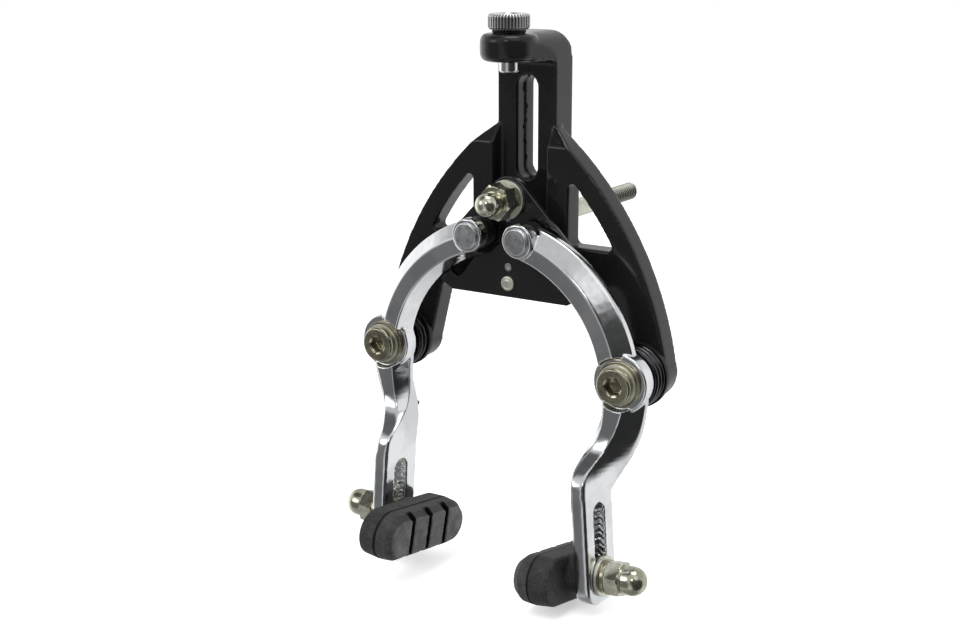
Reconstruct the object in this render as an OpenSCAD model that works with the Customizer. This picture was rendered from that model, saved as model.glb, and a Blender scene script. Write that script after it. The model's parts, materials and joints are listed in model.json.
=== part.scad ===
// Centre-pull rim brake for a bicycle fork, with one lift plate and two cranked arms.
// Origin: axis of the mounting bolt, at the face that seats against the fork.
// X runs to the right as seen from the front, Y runs to the rear, Z runs up. Sizes are in mm.

/* [Bracket casting] */
// Width of the upright post
post_w = 21; // [19:0.5:24]
// Depth of the post from its front face to the seat
post_d = 10; // [9:0.5:12]
// Height of the top of the hook above the mounting bolt
hook_top = 59.9; // [57:0.1:66]
// Height of the hook's section
hook_h = 8.4; // [6:0.1:10]
// Radius of the round boss that carries the cable adjuster
hook_boss_r = 8.8; // [7.5:0.1:9.5]
// Radius of the two upper corners of the post
hook_corner_r = 7.5; // [4:0.5:9]
// Radius of the moulded edge round the hook's boss
hook_edge_r = 2.4; // [1:0.1:3]
// Radius of the fillet under the hook
hook_fillet_r = 2.5; // [1:0.5:4]
// Radius of the curve along the wings' outer edge
wing_curve_r = 110; // [105:1:120]
// Sideways place of that curve's centre, past the middle
wing_curve_x = 56.5; // [54:0.5:58]
// Drop of that curve's centre below the mounting bolt
wing_curve_z = 55.9; // [54:0.1:58]
// Width of the rim band between the outer edge and the window
rim_w = 6.2; // [5:0.1:7]
// Distance of the wings' front face in front of the post
wing_step = 4.5; // [3.5:0.1:5]
// Thickness of the wings
wing_t = 7.9; // [6:0.1:8.5]
// Height where the wings' front face starts to slope back to the post
wing_slope_z = 25.6; // [22:0.1:27]
// Height where that slope meets the post
wing_top_z = 31.4; // [29:0.1:33]
// Radius of the wings' round lower ends
wing_end_r = 9.3; // [8:0.1:10.5]
// Distance of the window's upright edge from the middle
window_x = 17.4; // [16.5:0.1:19.5]
// Depth of the window's sill below the mounting bolt
window_z = 4.6; // [3:0.1:7]
// Radius of the window's corners
window_corner_r = 1.3; // [0.8:0.1:2]
// Half width of the arch at the pivots
arch_low_x = 34.2; // [33:0.1:36]
// Half width of the arch near its crown
arch_high_x = 28.6; // [27:0.1:31]
// Depth of the arch's crown below the mounting bolt
arch_crown = 19.6; // [17:0.1:21]
// Radius of the arch's upper corners
arch_corner_r = 5; // [3:0.5:7]
// Half width of the channel that guides the lift plate
channel_x = 9.6; // [9:0.1:10]
// Width of the long slot in the post
slot_w = 7.4; // [6:0.1:9]
// Height of the slot's lower end
slot_low = 14.2; // [13:0.1:18]
// Height of the slot's upper end
slot_high = 46.7; // [40:0.1:48]
// Step in each slot wall where the two die halves met
slot_step = 0.4; // [0.2:0.1:0.8]

/* [Mounting bolt] */
// Radius of the mounting bolt
mount_r = 3; // [2.5:0.5:4]
// Extra radius of the bolt's shoulder inside the post
mount_shoulder = 0.3; // [0.2:0.1:0.5]
// Length of the bolt behind the seat
mount_len = 61; // [30:1:70]
// Radius of the bolt's recessed head
mount_head_r = 5; // [4.5:0.1:6]
// Height of that head
mount_head_h = 6; // [4:0.5:7]
// Width across flats of its hexagon socket
mount_key = 5; // [3:0.5:6]

/* [Cable adjuster] */
// Distance of the cable's line in front of the seat
cable_y = 20.4; // [20:0.1:22]
// Radius of the knurled head
knurl_r = 6.4; // [5.6:0.1:7]
// Height of the knurled head
knurl_h = 4.8; // [3.5:0.1:6]
// Number of ridges on the knurled head
knurl_count = 36; // [24:4:48]
// Depth of the knurl
knurl_depth = 0.4; // [0.2:0.1:0.5]
// Radius of the adjuster's barrel
barrel_r = 3; // [2.5:0.1:3.5]
// Length of the barrel below the hook
barrel_out = 3.3; // [2:0.1:6]
// Radius of the socket for the cable housing
housing_r = 2.6; // [2:0.1:2.8]
// Depth of that socket
housing_depth = 7; // [4:0.5:9]
// Radius of the cable's own passage
cable_r = 1.1; // [0.9:0.1:1.5]
// Thickness of the rubber ring under the head
ring_t = 0.9; // [0.6:0.1:1.4]
// Radius of the middle of that ring's section
ring_r = 4.7; // [4:0.1:5]

/* [Lift plate] */
// Distance of the plate's front face in front of the seat
plate_y = 20.7; // [20.2:0.1:21.2]
// Thickness of the lift plate
plate_t = 2; // [1.5:0.1:2.2]
// Height of the cable anchor above the mounting bolt
anchor_z = 9.5; // [9:0.1:11]
// Radius of the plate's rounded top
plate_top_r = 7; // [6.5:0.1:8]
// Half width of the plate at its widest
plate_x = 27.6; // [26.6:0.1:29]
// Depth of the widest place below the mounting bolt
plate_wide_z = 12; // [10:0.1:15]
// Half width of the plate's bottom edge
plate_foot_x = 21; // [19:0.1:23]
// Depth of the bottom edge below the mounting bolt
plate_foot_z = 21.6; // [21:0.1:24]
// Depth of the rivet below the mounting bolt
rivet_z = 17.1; // [16:0.1:18]
// Depth of the small spigot below the mounting bolt
spigot_z = 11.9; // [11:0.1:13]
// Radius of the rivet's head
rivet_head_r = 2.4; // [1.8:0.1:3]
// Radius of the rivet's shank
rivet_r = 1.5; // [1:0.1:2]
// Radius of the spigot
spigot_r = 1.2; // [0.9:0.1:1.5]
// Width of one cam slot
cam_w = 5.2; // [4.8:0.1:5.6]
// Sideways reach of a cam slot
cam_dx = 10; // [9.2:0.1:10.6]
// Drop of a cam slot
cam_dz = 13.3; // [12.2:0.1:14]

/* [Cable anchor] */
// Radius of the anchor's flat washer
anchor_washer_r = 6.15; // [6:0.05:6.8]
// Thickness of that washer
anchor_washer_t = 1.6; // [1:0.1:2]
// Width across flats of the dome nuts
nut_flats = 10; // [9:0.5:11]
// Height of a pad nut's hexagon
nut_hex_h = 4.8; // [4:0.1:6]
// Radius of a pad nut's dome
dome_r = 4.5; // [4.2:0.1:4.7]
// Height of the anchor nut's hexagon
anchor_hex_h = 6.9; // [6:0.1:8]
// Radius of the anchor nut's dome
anchor_dome_r = 4; // [3.6:0.1:4.6]
// Height of the anchor nut over all
anchor_nut_h = 14.2; // [12.5:0.1:15]
// Radius of the anchor bolt
anchor_r = 3; // [2.5:0.1:3]

/* [Pivots] */
// Distance of each pivot from the middle
pivot_x = 43.3; // [42:0.1:45]
// Depth of the pivots below the mounting bolt
pivot_z = 41; // [40:0.1:43]
// Radius of the pivot bolt's head
pivot_head_r = 5.7; // [5:0.1:6]
// Height of that head
pivot_head_h = 2.3; // [2:0.1:3]
// Width across flats of its hexagon socket
pivot_key = 5.2; // [4:0.1:5.4]
// Radius of the pivot bolt's shank
pivot_r = 4; // [3.5:0.1:4]
// Radius of the pivot's thin washer
pivot_washer_r = 6.3; // [6:0.1:6.6]
// Thickness of that washer
pivot_washer_t = 1; // [0.6:0.1:1.4]
// Radius of the bush's flange
bush_flange_r = 7.1; // [6.7:0.1:7.5]
// Thickness of the bush's flange
bush_flange_t = 1.1; // [0.8:0.1:1.5]
// Wall of the bush's sleeve
bush_wall = 1; // [0.8:0.1:1.2]

/* [Return springs] */
// Radius of a spring's coils at the middle of the wire
spring_r = 8.9; // [8.6:0.1:9.2]
// Radius of the spring wire
wire_r = 0.85; // [0.6:0.05:0.95]
// Number of turns in one spring
spring_turns = 2.35; // [2.1:0.05:2.6]
// Thickness of the cup behind each spring
cup_t = 1; // [0.8:0.1:1.2]
// Height of the cup's lip
cup_lip = 1; // [0.6:0.1:1.4]

/* [Arms] */
// Distance of each arm's end pin from the middle
pin_x = 9; // [8.5:0.1:9.5]
// Depth of the end pins below the mounting bolt
pin_z = 1.2; // [0.8:0.1:1.6]
// Radius of the arm's curved upper part along its ridge
arm_curve_r = 45; // [43:0.5:50]
// Width of the sloped facet outside the ridge
facet_out = 4.6; // [4:0.1:5.2]
// Width of the facet inside the ridge
facet_in = 5.2; // [4.6:0.1:5.8]
// Extra width of the arm's back edge inside the facet
arm_draft = 2.2; // [1.5:0.1:2.6]
// Depth of the upper arm from ridge to back
arm_d = 7.1; // [6.5:0.1:7.5]
// Drop of the sloped facet from the ridge to the outer edge
facet_drop = 4.4; // [3:0.1:4.8]
// Radius of the round boss at the end pin
end_boss_r = 5.3; // [5:0.1:5.8]
// Thickness of that boss
end_boss_t = 4.2; // [3.5:0.1:4.6]
// Radius of the round boss at the pivot
pivot_boss_r = 9; // [8.6:0.1:9.2]
// Thickness of the boss at the pivot
pivot_boss_t = 5.4; // [5:0.1:5.8]
// Radius of the spot face round the pivot
spot_r = 8.1; // [7.7:0.1:8.4]
// Radius of the end pins
pin_r = 2; // [1.6:0.1:2.2]
// Radius of the end pins' polished heads
pin_head_r = 4.1; // [3.8:0.1:4.6]
// Height of those heads
pin_head_h = 0.9; // [0.6:0.1:1.2]
// Radius of the rollers in front of the lift plate
roller_r = 5; // [4.6:0.1:5.2]

/* [Pad straps] */
// Distance of the strap's middle plane from the centre, at the pad stud
strap_x = 38.2; // [37.6:0.1:38.8]
// Lean of the strap away from upright, in degrees
strap_lean = 4; // [2:0.5:5]
// Thickness of the strap
strap_t = 5.4; // [5:0.1:6]
// Width of the strap
strap_w = 17.2; // [16:0.1:17.6]
// Distance of the pad stud in front of the seat
stud_y = 32; // [31.5:0.1:33]
// Depth of the pad stud below the mounting bolt
stud_z = 98; // [97:0.1:99]
// Upward travel of the stud in its slot
stud_up = 14.5; // [12:0.5:15]
// Spare length of the slot above that travel
slot_spare = 2; // [1:0.5:2.5]
// Downward travel of the stud in its slot
stud_down = 5; // [4.5:0.5:5.5]
// Distance of the strap's round end below the stud
strap_end = 12.2; // [11.5:0.1:13]
// Extra drop of the right stud in its slot
right_drop = 3.7; // [2:0.1:4.5]

/* [Pads] */
// Radius of the pad stud
stud_r = 3; // [2.5:0.1:3]
// Length of the pad
pad_len = 44.4; // [40:0.1:50]
// Height of the pad at its lip
pad_h = 15.8; // [14:0.1:17]
// Thickness of the pad's base
pad_base_t = 6.4; // [4.5:0.1:7]
// Thickness of the pad's tread
pad_tread_t = 6.3; // [5.5:0.1:7]
// Height of the tread's flat face
pad_face_h = 10.8; // [9:0.1:12]
// Depth of the bevel round that face
pad_bevel = 2.6; // [1.5:0.1:3]
// Narrowing of the base towards the pad's back
pad_draft = 0.4; // [0.2:0.1:0.8]
// Depth of the fine groove at the lip
pad_lip = 0.5; // [0.3:0.1:0.8]
// Tilt of the left pad, rear end down, in degrees
left_tilt = 8.7; // [5:0.1:10]
// Tilt of the right pad, rear end down, in degrees
right_tilt = 10.2; // [8:0.1:11]
// Distance of the left pad's middle in front of its stud
left_shift = 5.5; // [2:0.1:7]
// Distance of the right pad's middle behind its stud
right_shift = 3; // [2:0.1:7]
// Height of the left stud above its pad's middle
left_rise = 0.4; // [0:0.1:1.6]
// Height of the right stud above its pad's middle
right_rise = 1.6; // [0:0.1:1.6]
// Height of the boss on the pad's back
pad_boss_t = 3.2; // [2:0.1:4]
// Radius of that boss
pad_boss_r = 6; // [5:0.1:6.2]
// Number of grooves in the tread
groove_count = 3; // [2:1:4]
// Width of one groove
groove_w = 2.3; // [1.6:0.1:2.6]
// Spacing of the grooves
groove_pitch = 9.5; // [8:0.1:10]
// Depth of the grooves
groove_d = 3; // [2:0.1:3.5]
// Radius of the pad's flat washer
pad_washer_r = 6.3; // [6:0.1:7]
// Thickness of that washer
pad_washer_t = 1.2; // [1:0.1:1.6]
// Radius of the split lock washer
lock_washer_r = 5.2; // [5:0.1:5.6]
// Thickness of the lock washer
lock_washer_t = 1.6; // [1.2:0.1:1.8]
// Height of a pad's dome nut over all
pad_nut_h = 12.1; // [11:0.1:13]

/* [Clearances] */
// Radial clearance of parts that turn or slide on each other
run_fit = 0.05; // [0.03:0.01:0.08]
// Gap between faces that pass each other
face_gap = 0.3; // [0.2:0.05:0.4]
// Gap where a pad's hardware slides along its strap
slide_gap = 0.06; // [0.04:0.01:0.1]

/* [Hidden] */
$fn = 64;
LEFT = -1;
RIGHT = 1;
eps = 0.01;

// Depth planes, counted towards the rear
post_front = -post_d;
wing_front = post_front - wing_step;
wing_back = wing_front + wing_t;
cable_plane = -cable_y;
plate_front = -plate_y;
plate_back = plate_front + plate_t;
roller_back = plate_front - face_gap;
arm_back = plate_front - 1.8;
arm_ridge = arm_back - arm_d;
end_boss_front = arm_ridge - 1.1;
end_boss_back = end_boss_front + end_boss_t;
roller_front = end_boss_back + face_gap;
spot_front = arm_back + 0.4 - pivot_boss_t;
pivot_boss_back = spot_front + pivot_boss_t;
bush_flange_front = spot_front - slide_gap - bush_flange_t;
washer_front = bush_flange_front - pivot_washer_t;
cup_front = wing_front - cup_t;
strap_mid = -stud_y;
strap_front = strap_mid - strap_w / 2;
strap_back = strap_mid + strap_w / 2;

// Height planes and radii that follow from other sizes
hook_low = hook_top - hook_h;
ring_seat = hook_top + slide_gap;
knurl_low = ring_seat + ring_t + slide_gap;
knurl_high = knurl_low + knurl_h;
bush_r = pivot_r + run_fit + bush_wall;
hub_r = cam_w / 2 - 2 * run_fit;
slot_r = stud_r + 0.3;
nut_corner_r = nut_flats / 2 / cos(30);
cam_angle = atan2(cam_dz, cam_dx);
cam_len = norm([cam_dx, cam_dz]);

// Centre of the arm's curved part, from its two ends and its radius
pin_at = [pin_x, -pin_z];
pivot_at = [pivot_x, -pivot_z];
chord = pivot_at - pin_at;
chord_half = norm(chord) / 2;
arm_centre = (pin_at + pivot_at) / 2
    + [chord[1], -chord[0]] / norm(chord) * sqrt(arm_curve_r ^ 2 - chord_half ^ 2);
pin_angle = atan2(pin_at[1] - arm_centre[1], pin_at[0] - arm_centre[0]);
pivot_angle = atan2(pivot_at[1] - arm_centre[1], pivot_at[0] - arm_centre[0]);

// Point of a circular fillet of radius r at corner b, between neighbours a and c
function fillet_points(a, b, c, r, steps) =
    let (
        u = (a - b) / norm(a - b),
        v = (c - b) / norm(c - b),
        half = acos(u * v) / 2,
        centre = b + (u + v) / norm(u + v) * r / sin(half),
        start = b + u * r / tan(half),
        finish = b + v * r / tan(half),
        a0 = atan2(start[1] - centre[1], start[0] - centre[0]),
        turn = atan2(finish[1] - centre[1], finish[0] - centre[0]) - a0,
        sweep = turn > 180 ? turn - 360 : turn < -180 ? turn + 360 : turn
    )
    [for (i = [0:steps]) centre + r * [cos(a0 + sweep * i / steps), sin(a0 + sweep * i / steps)]];

// Closed outline whose corners [x, y, radius] are rounded
function rounded(corners, steps = 5) =
    let (n = len(corners))
    [for (i = [0:n - 1])
        let (
            a = corners[(i + n - 1) % n],
            b = corners[i],
            c = corners[(i + 1) % n]
        )
        each b[2] > 0
            ? fillet_points([a[0], a[1]], [b[0], b[1]], [c[0], c[1]], b[2], steps)
            : [[b[0], b[1]]]];

// Extrudes an outline drawn in X and Z between two depth planes
module slab(front, back) {
    translate([0, back, 0])
        rotate([90, 0, 0])
            linear_extrude(back - front)
                children();
}

// Extrudes an outline drawn in Y and Z between two sideways planes
module cross_slab(low, high) {
    translate([low, 0, 0])
        rotate([90, 0, 90])
            linear_extrude(high - low)
                children();
}

// Solid cylinder along Y between two depth planes
module disc(r, front, back) {
    translate([0, back, 0])
        rotate([90, 0, 0])
            cylinder(r = r, h = back - front);
}

// Places children at one side's pivot
module at_pivot(side) {
    translate([side * pivot_x, 0, -pivot_z])
        children();
}

// Places children at one side's end pin
module at_pin(side) {
    translate([side * pin_x, 0, -pin_z])
        children();
}

// Places children drawn for the right side on either side
module on_side(side) {
    if (side == RIGHT)
        children();
    else
        mirror([1, 0, 0])
            children();
}

// Right arm's strap frame: X outwards through the slot, Z up along the strap
module strap_frame() {
    translate([strap_x, strap_mid, -stud_z])
        rotate([0, -strap_lean, 0])
            children();
}

// Places children, drawn in the strap's frame, at one side's stud
module at_stud(side) {
    on_side(side)
        strap_frame()
            translate([0, 0, side == RIGHT ? -right_drop : 0])
                children();
}

// Hexagonal prism along Z
module hexagon(flats, h) {
    cylinder(r = flats / 2 / cos(30), h = h, $fn = 6);
}

// Rounded slot outline, centred between its two end centres
module stadium(length, width) {
    square([length, width], center = true);
    for (end = [-1, 1])
        translate([end * length / 2, 0])
            circle(d = width);
}

// Wing outline on the right side, without its window
module wing_outline() {
    difference() {
        union() {
            intersection() {
                translate([-wing_curve_x, -wing_curve_z])
                    circle(r = wing_curve_r, $fn = 180);
                translate([channel_x, -pivot_z])
                    square([pivot_x + wing_end_r, pivot_z + wing_top_z]);
            }
            translate([pivot_x, -pivot_z])
                circle(r = wing_end_r);
        }
        arch_outline();
    }
}

// Open arch between the wings
module arch_outline() {
    polygon(rounded([
        [-arch_low_x, -2 * pivot_z, 0],
        [-arch_low_x, -pivot_z - 1, 0],
        [-arch_high_x, -arch_crown, arch_corner_r],
        [arch_high_x, -arch_crown, arch_corner_r],
        [arch_low_x, -pivot_z - 1, 0],
        [arch_low_x, -2 * pivot_z, 0]
    ]));
}

// Triangular window in the right wing
module window_outline() {
    reach = wing_curve_r - rim_w;
    side_z = sqrt(reach ^ 2 - (window_x + wing_curve_x) ^ 2) - wing_curve_z;
    sill_x = sqrt(reach ^ 2 - (wing_curve_z - window_z) ^ 2) - wing_curve_x;
    low_turn = atan2(wing_curve_z - window_z, sill_x + wing_curve_x);
    high_turn = atan2(side_z + wing_curve_z, window_x + wing_curve_x);
    steps = 6;
    polygon(rounded([
        [window_x, -window_z, window_corner_r],
        [sill_x, -window_z, window_corner_r],
        for (i = [1:steps - 1])
            let (turn = low_turn + (high_turn - low_turn) * i / steps)
            [reach * cos(turn) - wing_curve_x, reach * sin(turn) - wing_curve_z, 0],
        [window_x, side_z, window_corner_r]
    ], 4));
}

// Side profile of the post with its hook, drawn in Y and Z
module post_profile() {
    polygon(rounded([
        [0, -arch_crown, 0],
        [0, hook_top, 1.5],
        [cable_plane, hook_top, 0],
        [cable_plane, hook_low, 0],
        [post_front, hook_low, hook_fillet_r],
        [post_front, -arch_crown, 0]
    ]));
}

// Front profile of the post, drawn in X and Z
module post_front_profile() {
    polygon(rounded([
        [-post_w / 2, -arch_crown, 0],
        [post_w / 2, -arch_crown, 0],
        [post_w / 2, hook_top, hook_corner_r],
        [-post_w / 2, hook_top, hook_corner_r]
    ], 8));
}

// Plan of the post and the hook, tapering to the boss
module hook_plan() {
    polygon([
        [-post_w / 2, eps],
        [-post_w / 2, post_front],
        [-hook_boss_r, cable_plane],
        [hook_boss_r, cable_plane],
        [post_w / 2, post_front],
        [post_w / 2, eps]
    ]);
}

// Round boss of the hook with moulded edges
module hook_boss() {
    translate([0, cable_plane, 0])
        rotate_extrude()
            polygon(rounded([
                [0, hook_low, 0],
                [hook_boss_r, hook_low, hook_edge_r],
                [hook_boss_r, hook_top, hook_edge_r],
                [0, hook_top, 0]
            ]));
}

module frame_casting() {
    head_seat = post_front + mount_head_h + 0.5;
    color("#1b1b1d")
        difference() {
            union() {
                intersection() {
                    cross_slab(-post_w / 2, post_w / 2)
                        post_profile();
                    slab(cable_plane, 0)
                        post_front_profile();
                    translate([0, 0, -arch_crown])
                        linear_extrude(hook_top + arch_crown)
                            hook_plan();
                }
                hook_boss();
                for (side = [LEFT, RIGHT])
                    on_side(side)
                        wing();
            }
            slab(post_front - 1, 1)
                slot_outline(slot_w - 2 * slot_step);
            slab(post_front - 1, post_front / 2)
                slot_outline(slot_w);
            disc(mount_r + mount_shoulder + run_fit, post_front - 1, 1);
            disc(mount_head_r + 0.2, post_front - 1, head_seat);
            translate([0, cable_plane, hook_low - 1])
                cylinder(r = barrel_r + run_fit, h = hook_h + 2);
            for (side = [LEFT, RIGHT])
                at_pivot(side)
                    disc(pivot_r + run_fit, wing_front - 1, wing_back + 1);
        }
}

// Long slot in the post, drawn in X and Z
module slot_outline(w) {
    translate([0, (slot_low + slot_high) / 2])
        rotate(90)
            stadium(slot_high - slot_low - slot_w, w);
}

// One wing of the casting, with the sloped shoulder that meets the post
module wing() {
    difference() {
        slab(wing_front, wing_back)
            difference() {
                wing_outline();
                window_outline();
            }
        cross_slab(0, post_w * 2)
            polygon([
                [wing_front - 1, wing_slope_z],
                [wing_front, wing_slope_z],
                [post_front, wing_top_z],
                [post_front, wing_top_z + 1],
                [wing_front - 1, wing_top_z + 1]
            ]);
    }
}

module mounting_bolt() {
    seat = post_front + mount_head_h + 0.5;
    color("#c9c7b8")
        difference() {
            union() {
                disc(mount_r + mount_shoulder, seat, 0);
                disc(mount_r, seat, mount_len - 0.6);
                translate([0, mount_len, 0])
                    rotate([90, 0, 0])
                        cylinder(r1 = mount_r - 0.6, r2 = mount_r, h = 0.6);
                disc(mount_head_r, seat - mount_head_h, seat);
            }
            translate([0, seat - mount_head_h / 2, 0])
                rotate([90, 0, 0])
                    hexagon(mount_key, mount_head_h);
        }
}

// Knurled outline: a ring of shallow ridges with flat crests
function knurl_outline() =
    let (step = 360 / knurl_count)
    [for (i = [0:knurl_count - 1], k = [[0.02, 0], [0.28, knurl_depth], [0.62, knurl_depth], [0.88, 0]])
        let (turn = (i + k[0]) * step, r = knurl_r - knurl_depth + k[1])
        [r * cos(turn), r * sin(turn)]];

module barrel_adjuster() {
    barrel_low = hook_low - barrel_out;
    bevel = 0.5;
    color("#d8dadc")
        translate([0, cable_plane, 0])
            difference() {
                union() {
                    translate([0, 0, knurl_low])
                        linear_extrude(knurl_h)
                            polygon(knurl_outline());
                    rotate_extrude()
                        polygon([
                            [0, barrel_low],
                            [barrel_r - bevel, barrel_low],
                            [barrel_r, barrel_low + bevel],
                            [barrel_r, knurl_low + eps],
                            [0, knurl_low + eps]
                        ]);
                }
                translate([0, 0, knurl_high - housing_depth])
                    cylinder(r = housing_r, h = housing_depth + 1);
                translate([0, 0, barrel_low - 1])
                    cylinder(r = cable_r, h = knurl_high - barrel_low);
                translate([0, 0, knurl_high - 0.4])
                    cylinder(r1 = housing_r, r2 = housing_r + 0.6, h = 0.6);
            }
}

module adjuster_ring() {
    color("#101010")
        translate([0, cable_plane, ring_seat + ring_t / 2])
            rotate_extrude()
                translate([ring_r, 0])
                    circle(d = ring_t, $fn = 24);
}

// Outline of the lift plate, drawn in X and Z
module plate_outline() {
    shoulder = plate_top_r * cos(40);
    difference() {
        union() {
            polygon(rounded([
                [-shoulder, anchor_z + plate_top_r * sin(40), 0],
                [-plate_x, -plate_wide_z + 3, 3],
                [-plate_x + 1.2, -plate_foot_z + 3, 1.5],
                [-plate_foot_x, -plate_foot_z, 1],
                [plate_foot_x, -plate_foot_z, 1],
                [plate_x - 1.2, -plate_foot_z + 3, 1.5],
                [plate_x, -plate_wide_z + 3, 3],
                [shoulder, anchor_z + plate_top_r * sin(40), 0]
            ]));
            translate([0, anchor_z])
                circle(r = plate_top_r);
        }
        for (side = [-1, 1])
            translate([side * (pin_x + cam_dx / 2), -pin_z - cam_dz / 2])
                rotate(-side * cam_angle)
                    stadium(cam_len, cam_w);
    }
}

module lift_plate() {
    color("#161617")
        difference() {
            slab(plate_front, plate_back)
                plate_outline();
            translate([0, 0, anchor_z])
                disc(anchor_r + run_fit, plate_front - 1, plate_back + 1);
            translate([0, 0, -rivet_z])
                disc(rivet_r + run_fit, plate_front - 1, plate_back + 1);
            translate([0, 0, -spigot_z])
                disc(spigot_r + run_fit, plate_front - 1, plate_back + 1);
        }
}

// Block behind the plate that slides in the casting's channel
module plate_guide() {
    guide_w = 2 * (channel_x - face_gap);
    guide_low = -plate_foot_z + 1;
    guide_high = -spigot_z + 3.4;
    guide_back = post_front - face_gap;
    color("#151515")
        difference() {
            union() {
                slab(plate_back, guide_back)
                    polygon(rounded([
                        [-guide_w / 2, guide_low, 1],
                        [guide_w / 2, guide_low, 1],
                        [guide_w / 2, guide_high, 1.5],
                        [-guide_w / 2, guide_high, 1.5]
                    ], 3));
                translate([0, 0, -spigot_z])
                    disc(spigot_r, plate_front, plate_back + eps);
            }
            translate([0, 0, -rivet_z])
                disc(rivet_r + run_fit, plate_front, guide_back + 1);
            translate([0, 0, -spigot_z])
                disc(0.5, plate_front - 1, plate_front + 0.5);
        }
}

// Rivet with a low domed head in front and a flat closing head let into the guide
module plate_rivet() {
    head_h = 0.9;
    color("#b9bbbd") {
        translate([0, 0, -rivet_z])
            rotate([90, 0, 0])
                rotate_extrude()
                    polygon([
                        [0, -(post_front - face_gap - 0.4)],
                        [rivet_r, -(post_front - face_gap - 0.4)],
                        [rivet_r, -plate_front],
                        [rivet_head_r, -plate_front],
                        [rivet_head_r, -plate_front + head_h * 0.4],
                        [rivet_head_r * 0.75, -plate_front + head_h * 0.85],
                        [rivet_head_r * 0.3, -plate_front + head_h],
                        [0, -plate_front + head_h]
                    ]);
    }
}

// Bolt that carries the cable, its hexagon head behind the plate
module anchor_bolt() {
    head_h = 3.6;
    tip = plate_front - anchor_washer_t - anchor_hex_h;
    color("#c4c1ae")
        translate([0, 0, anchor_z])
            difference() {
                union() {
                    disc(anchor_r, tip, plate_back);
                    translate([0, plate_back + head_h, 0])
                        rotate([90, 0, 0])
                            hexagon(nut_flats - 1, head_h);
                }
                translate([0, plate_front - anchor_washer_t / 2, -nut_flats])
                    cylinder(r = cable_r * 0.7, h = 2 * nut_flats);
            }
}

module anchor_washer() {
    color("#c9c6b4")
        translate([0, 0, anchor_z])
            difference() {
                disc(anchor_washer_r, plate_front - anchor_washer_t, plate_front);
                disc(anchor_r + run_fit, plate_front - anchor_washer_t - 1, plate_front + 1);
            }
}

// Dome nut along Z: chamfered hexagon with a dome on top, bored from below
module dome_nut(total_h, hex_h, top_r, bore_r) {
    collar_r = nut_flats / 2 - 0.2;
    bevel = 0.7;
    difference() {
        intersection() {
            union() {
                hexagon(nut_flats, hex_h);
                cylinder(r = top_r, h = total_h - top_r);
                translate([0, 0, total_h - top_r])
                    sphere(r = top_r);
            }
            rotate_extrude()
                polygon([
                    [0, 0],
                    [collar_r, 0],
                    [nut_corner_r, bevel],
                    [nut_corner_r, hex_h - bevel],
                    [collar_r, hex_h],
                    [top_r + eps, hex_h],
                    [top_r + eps, total_h + 1],
                    [0, total_h + 1]
                ]);
        }
        translate([0, 0, -1])
            cylinder(r = bore_r, h = hex_h + 1.2);
    }
}

module anchor_nut() {
    color("#d0ccb6")
        translate([0, plate_front - anchor_washer_t, anchor_z])
            rotate([90, 12, 0])
                dome_nut(anchor_nut_h, anchor_hex_h, anchor_dome_r, anchor_r + run_fit);
}

// Curved upper part of the right arm: a faceted section turned about the arc's centre
module upper_arm() {
    section = [
        [arm_curve_r - facet_in - arm_draft, -arm_back],
        [arm_curve_r - facet_in, -arm_ridge + 0.4],
        [arm_curve_r, -arm_ridge],
        [arm_curve_r + facet_out, -arm_ridge - facet_drop],
        [arm_curve_r + facet_out, -arm_back]
    ];
    translate([arm_centre[0], 0, arm_centre[1]])
        rotate([90, 0, 0])
            rotate([0, 0, pivot_angle])
                rotate_extrude(angle = pin_angle - pivot_angle, $fn = 180)
                    polygon(section);
}

// Middle of the strap's thickness at height z
function strap_mid_x(z) = strap_x - (stud_z + z) * tan(strap_lean);

// Sections of the lower arm. Each row holds the drop below the pivot, how far the section has
// moved from the pivot's line to the strap's, the forward moves of its front's outer and inner
// edge, then the sideways places: outer back, outer wall, front outer, front inner, inner wall,
// inner back. The last two are the depths of the outer and the inner wall.
lower_sections = [
    [2, 0, 0, 0, 8.2, 7.9, 3.2, -3.8, -8.1, -8.3, 1.9, 1.9],
    [5, 0, 0, 0, 7.6, 7.3, 2.7, -4, -7.9, -7.9, 1.9, 1.9],
    [9, 0, 0, 0, 7, 6.8, 1.7, -4.3, -7.6, -7.5, 1.9, 1.9],
    [13, 0.15, 0.01, 0, 7.7, 7.2, 1.7, -3.5, -6.6, -6.5, 1.9, 2.2],
    [17, 0.35, 0.06, 0.05, 8.3, 7.5, 1.8, -3, -6, -6, 1.9, 3.9],
    [21, 0.6, 0.22, 0.17, 8.6, 7.7, 1.9, -2.7, -5, -5, 1.9, 6.9],
    [24, 0.8, 0.45, 0.4, 8.6, 7.7, 1.9, -2.7, -4.1, -4.1, 1.9, 10.5],
    [27, 1, 0.72, 0.73, 8.3, 7.3, 2, -2, -2.9, -2.9, 1.9, 14.2],
    [30, 1, 0.91, 0.93, 6.3, 5.3, 1.9, -2, -2.8, -2.8, 1.9, 16.2],
    [33, 1, 0.97, 0.98, 4.2, 3.6, 2.2, -2, -2.65, -2.65, 2.6, 16.6],
    [36, 1, 1, 1, 2.66, 2.66, 2.4, -2.3, -2.64, -2.64, 8, 16.8],
    [40, 1, 1, 1, 2.66, 2.66, 2.3, -2.3, -2.64, -2.64, 16.7, 16.8]
];

// Corner points of one section of the lower arm
function section_points(row) =
    let (
        z = -pivot_z - row[0],
        mid = pivot_x + (strap_mid_x(z) - pivot_x) * row[1],
        back = pivot_boss_back + (strap_back - pivot_boss_back) * max(row[2], 0),
        reach = strap_front - arm_ridge
    )
    [
        [mid + row[4], back, z],
        [mid + row[5], back - row[10], z],
        [mid + row[6], arm_ridge + reach * row[2], z],
        [mid + row[7], arm_ridge + reach * row[3], z],
        [mid + row[8], back - row[11], z],
        [mid + row[9], back, z]
    ];

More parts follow.
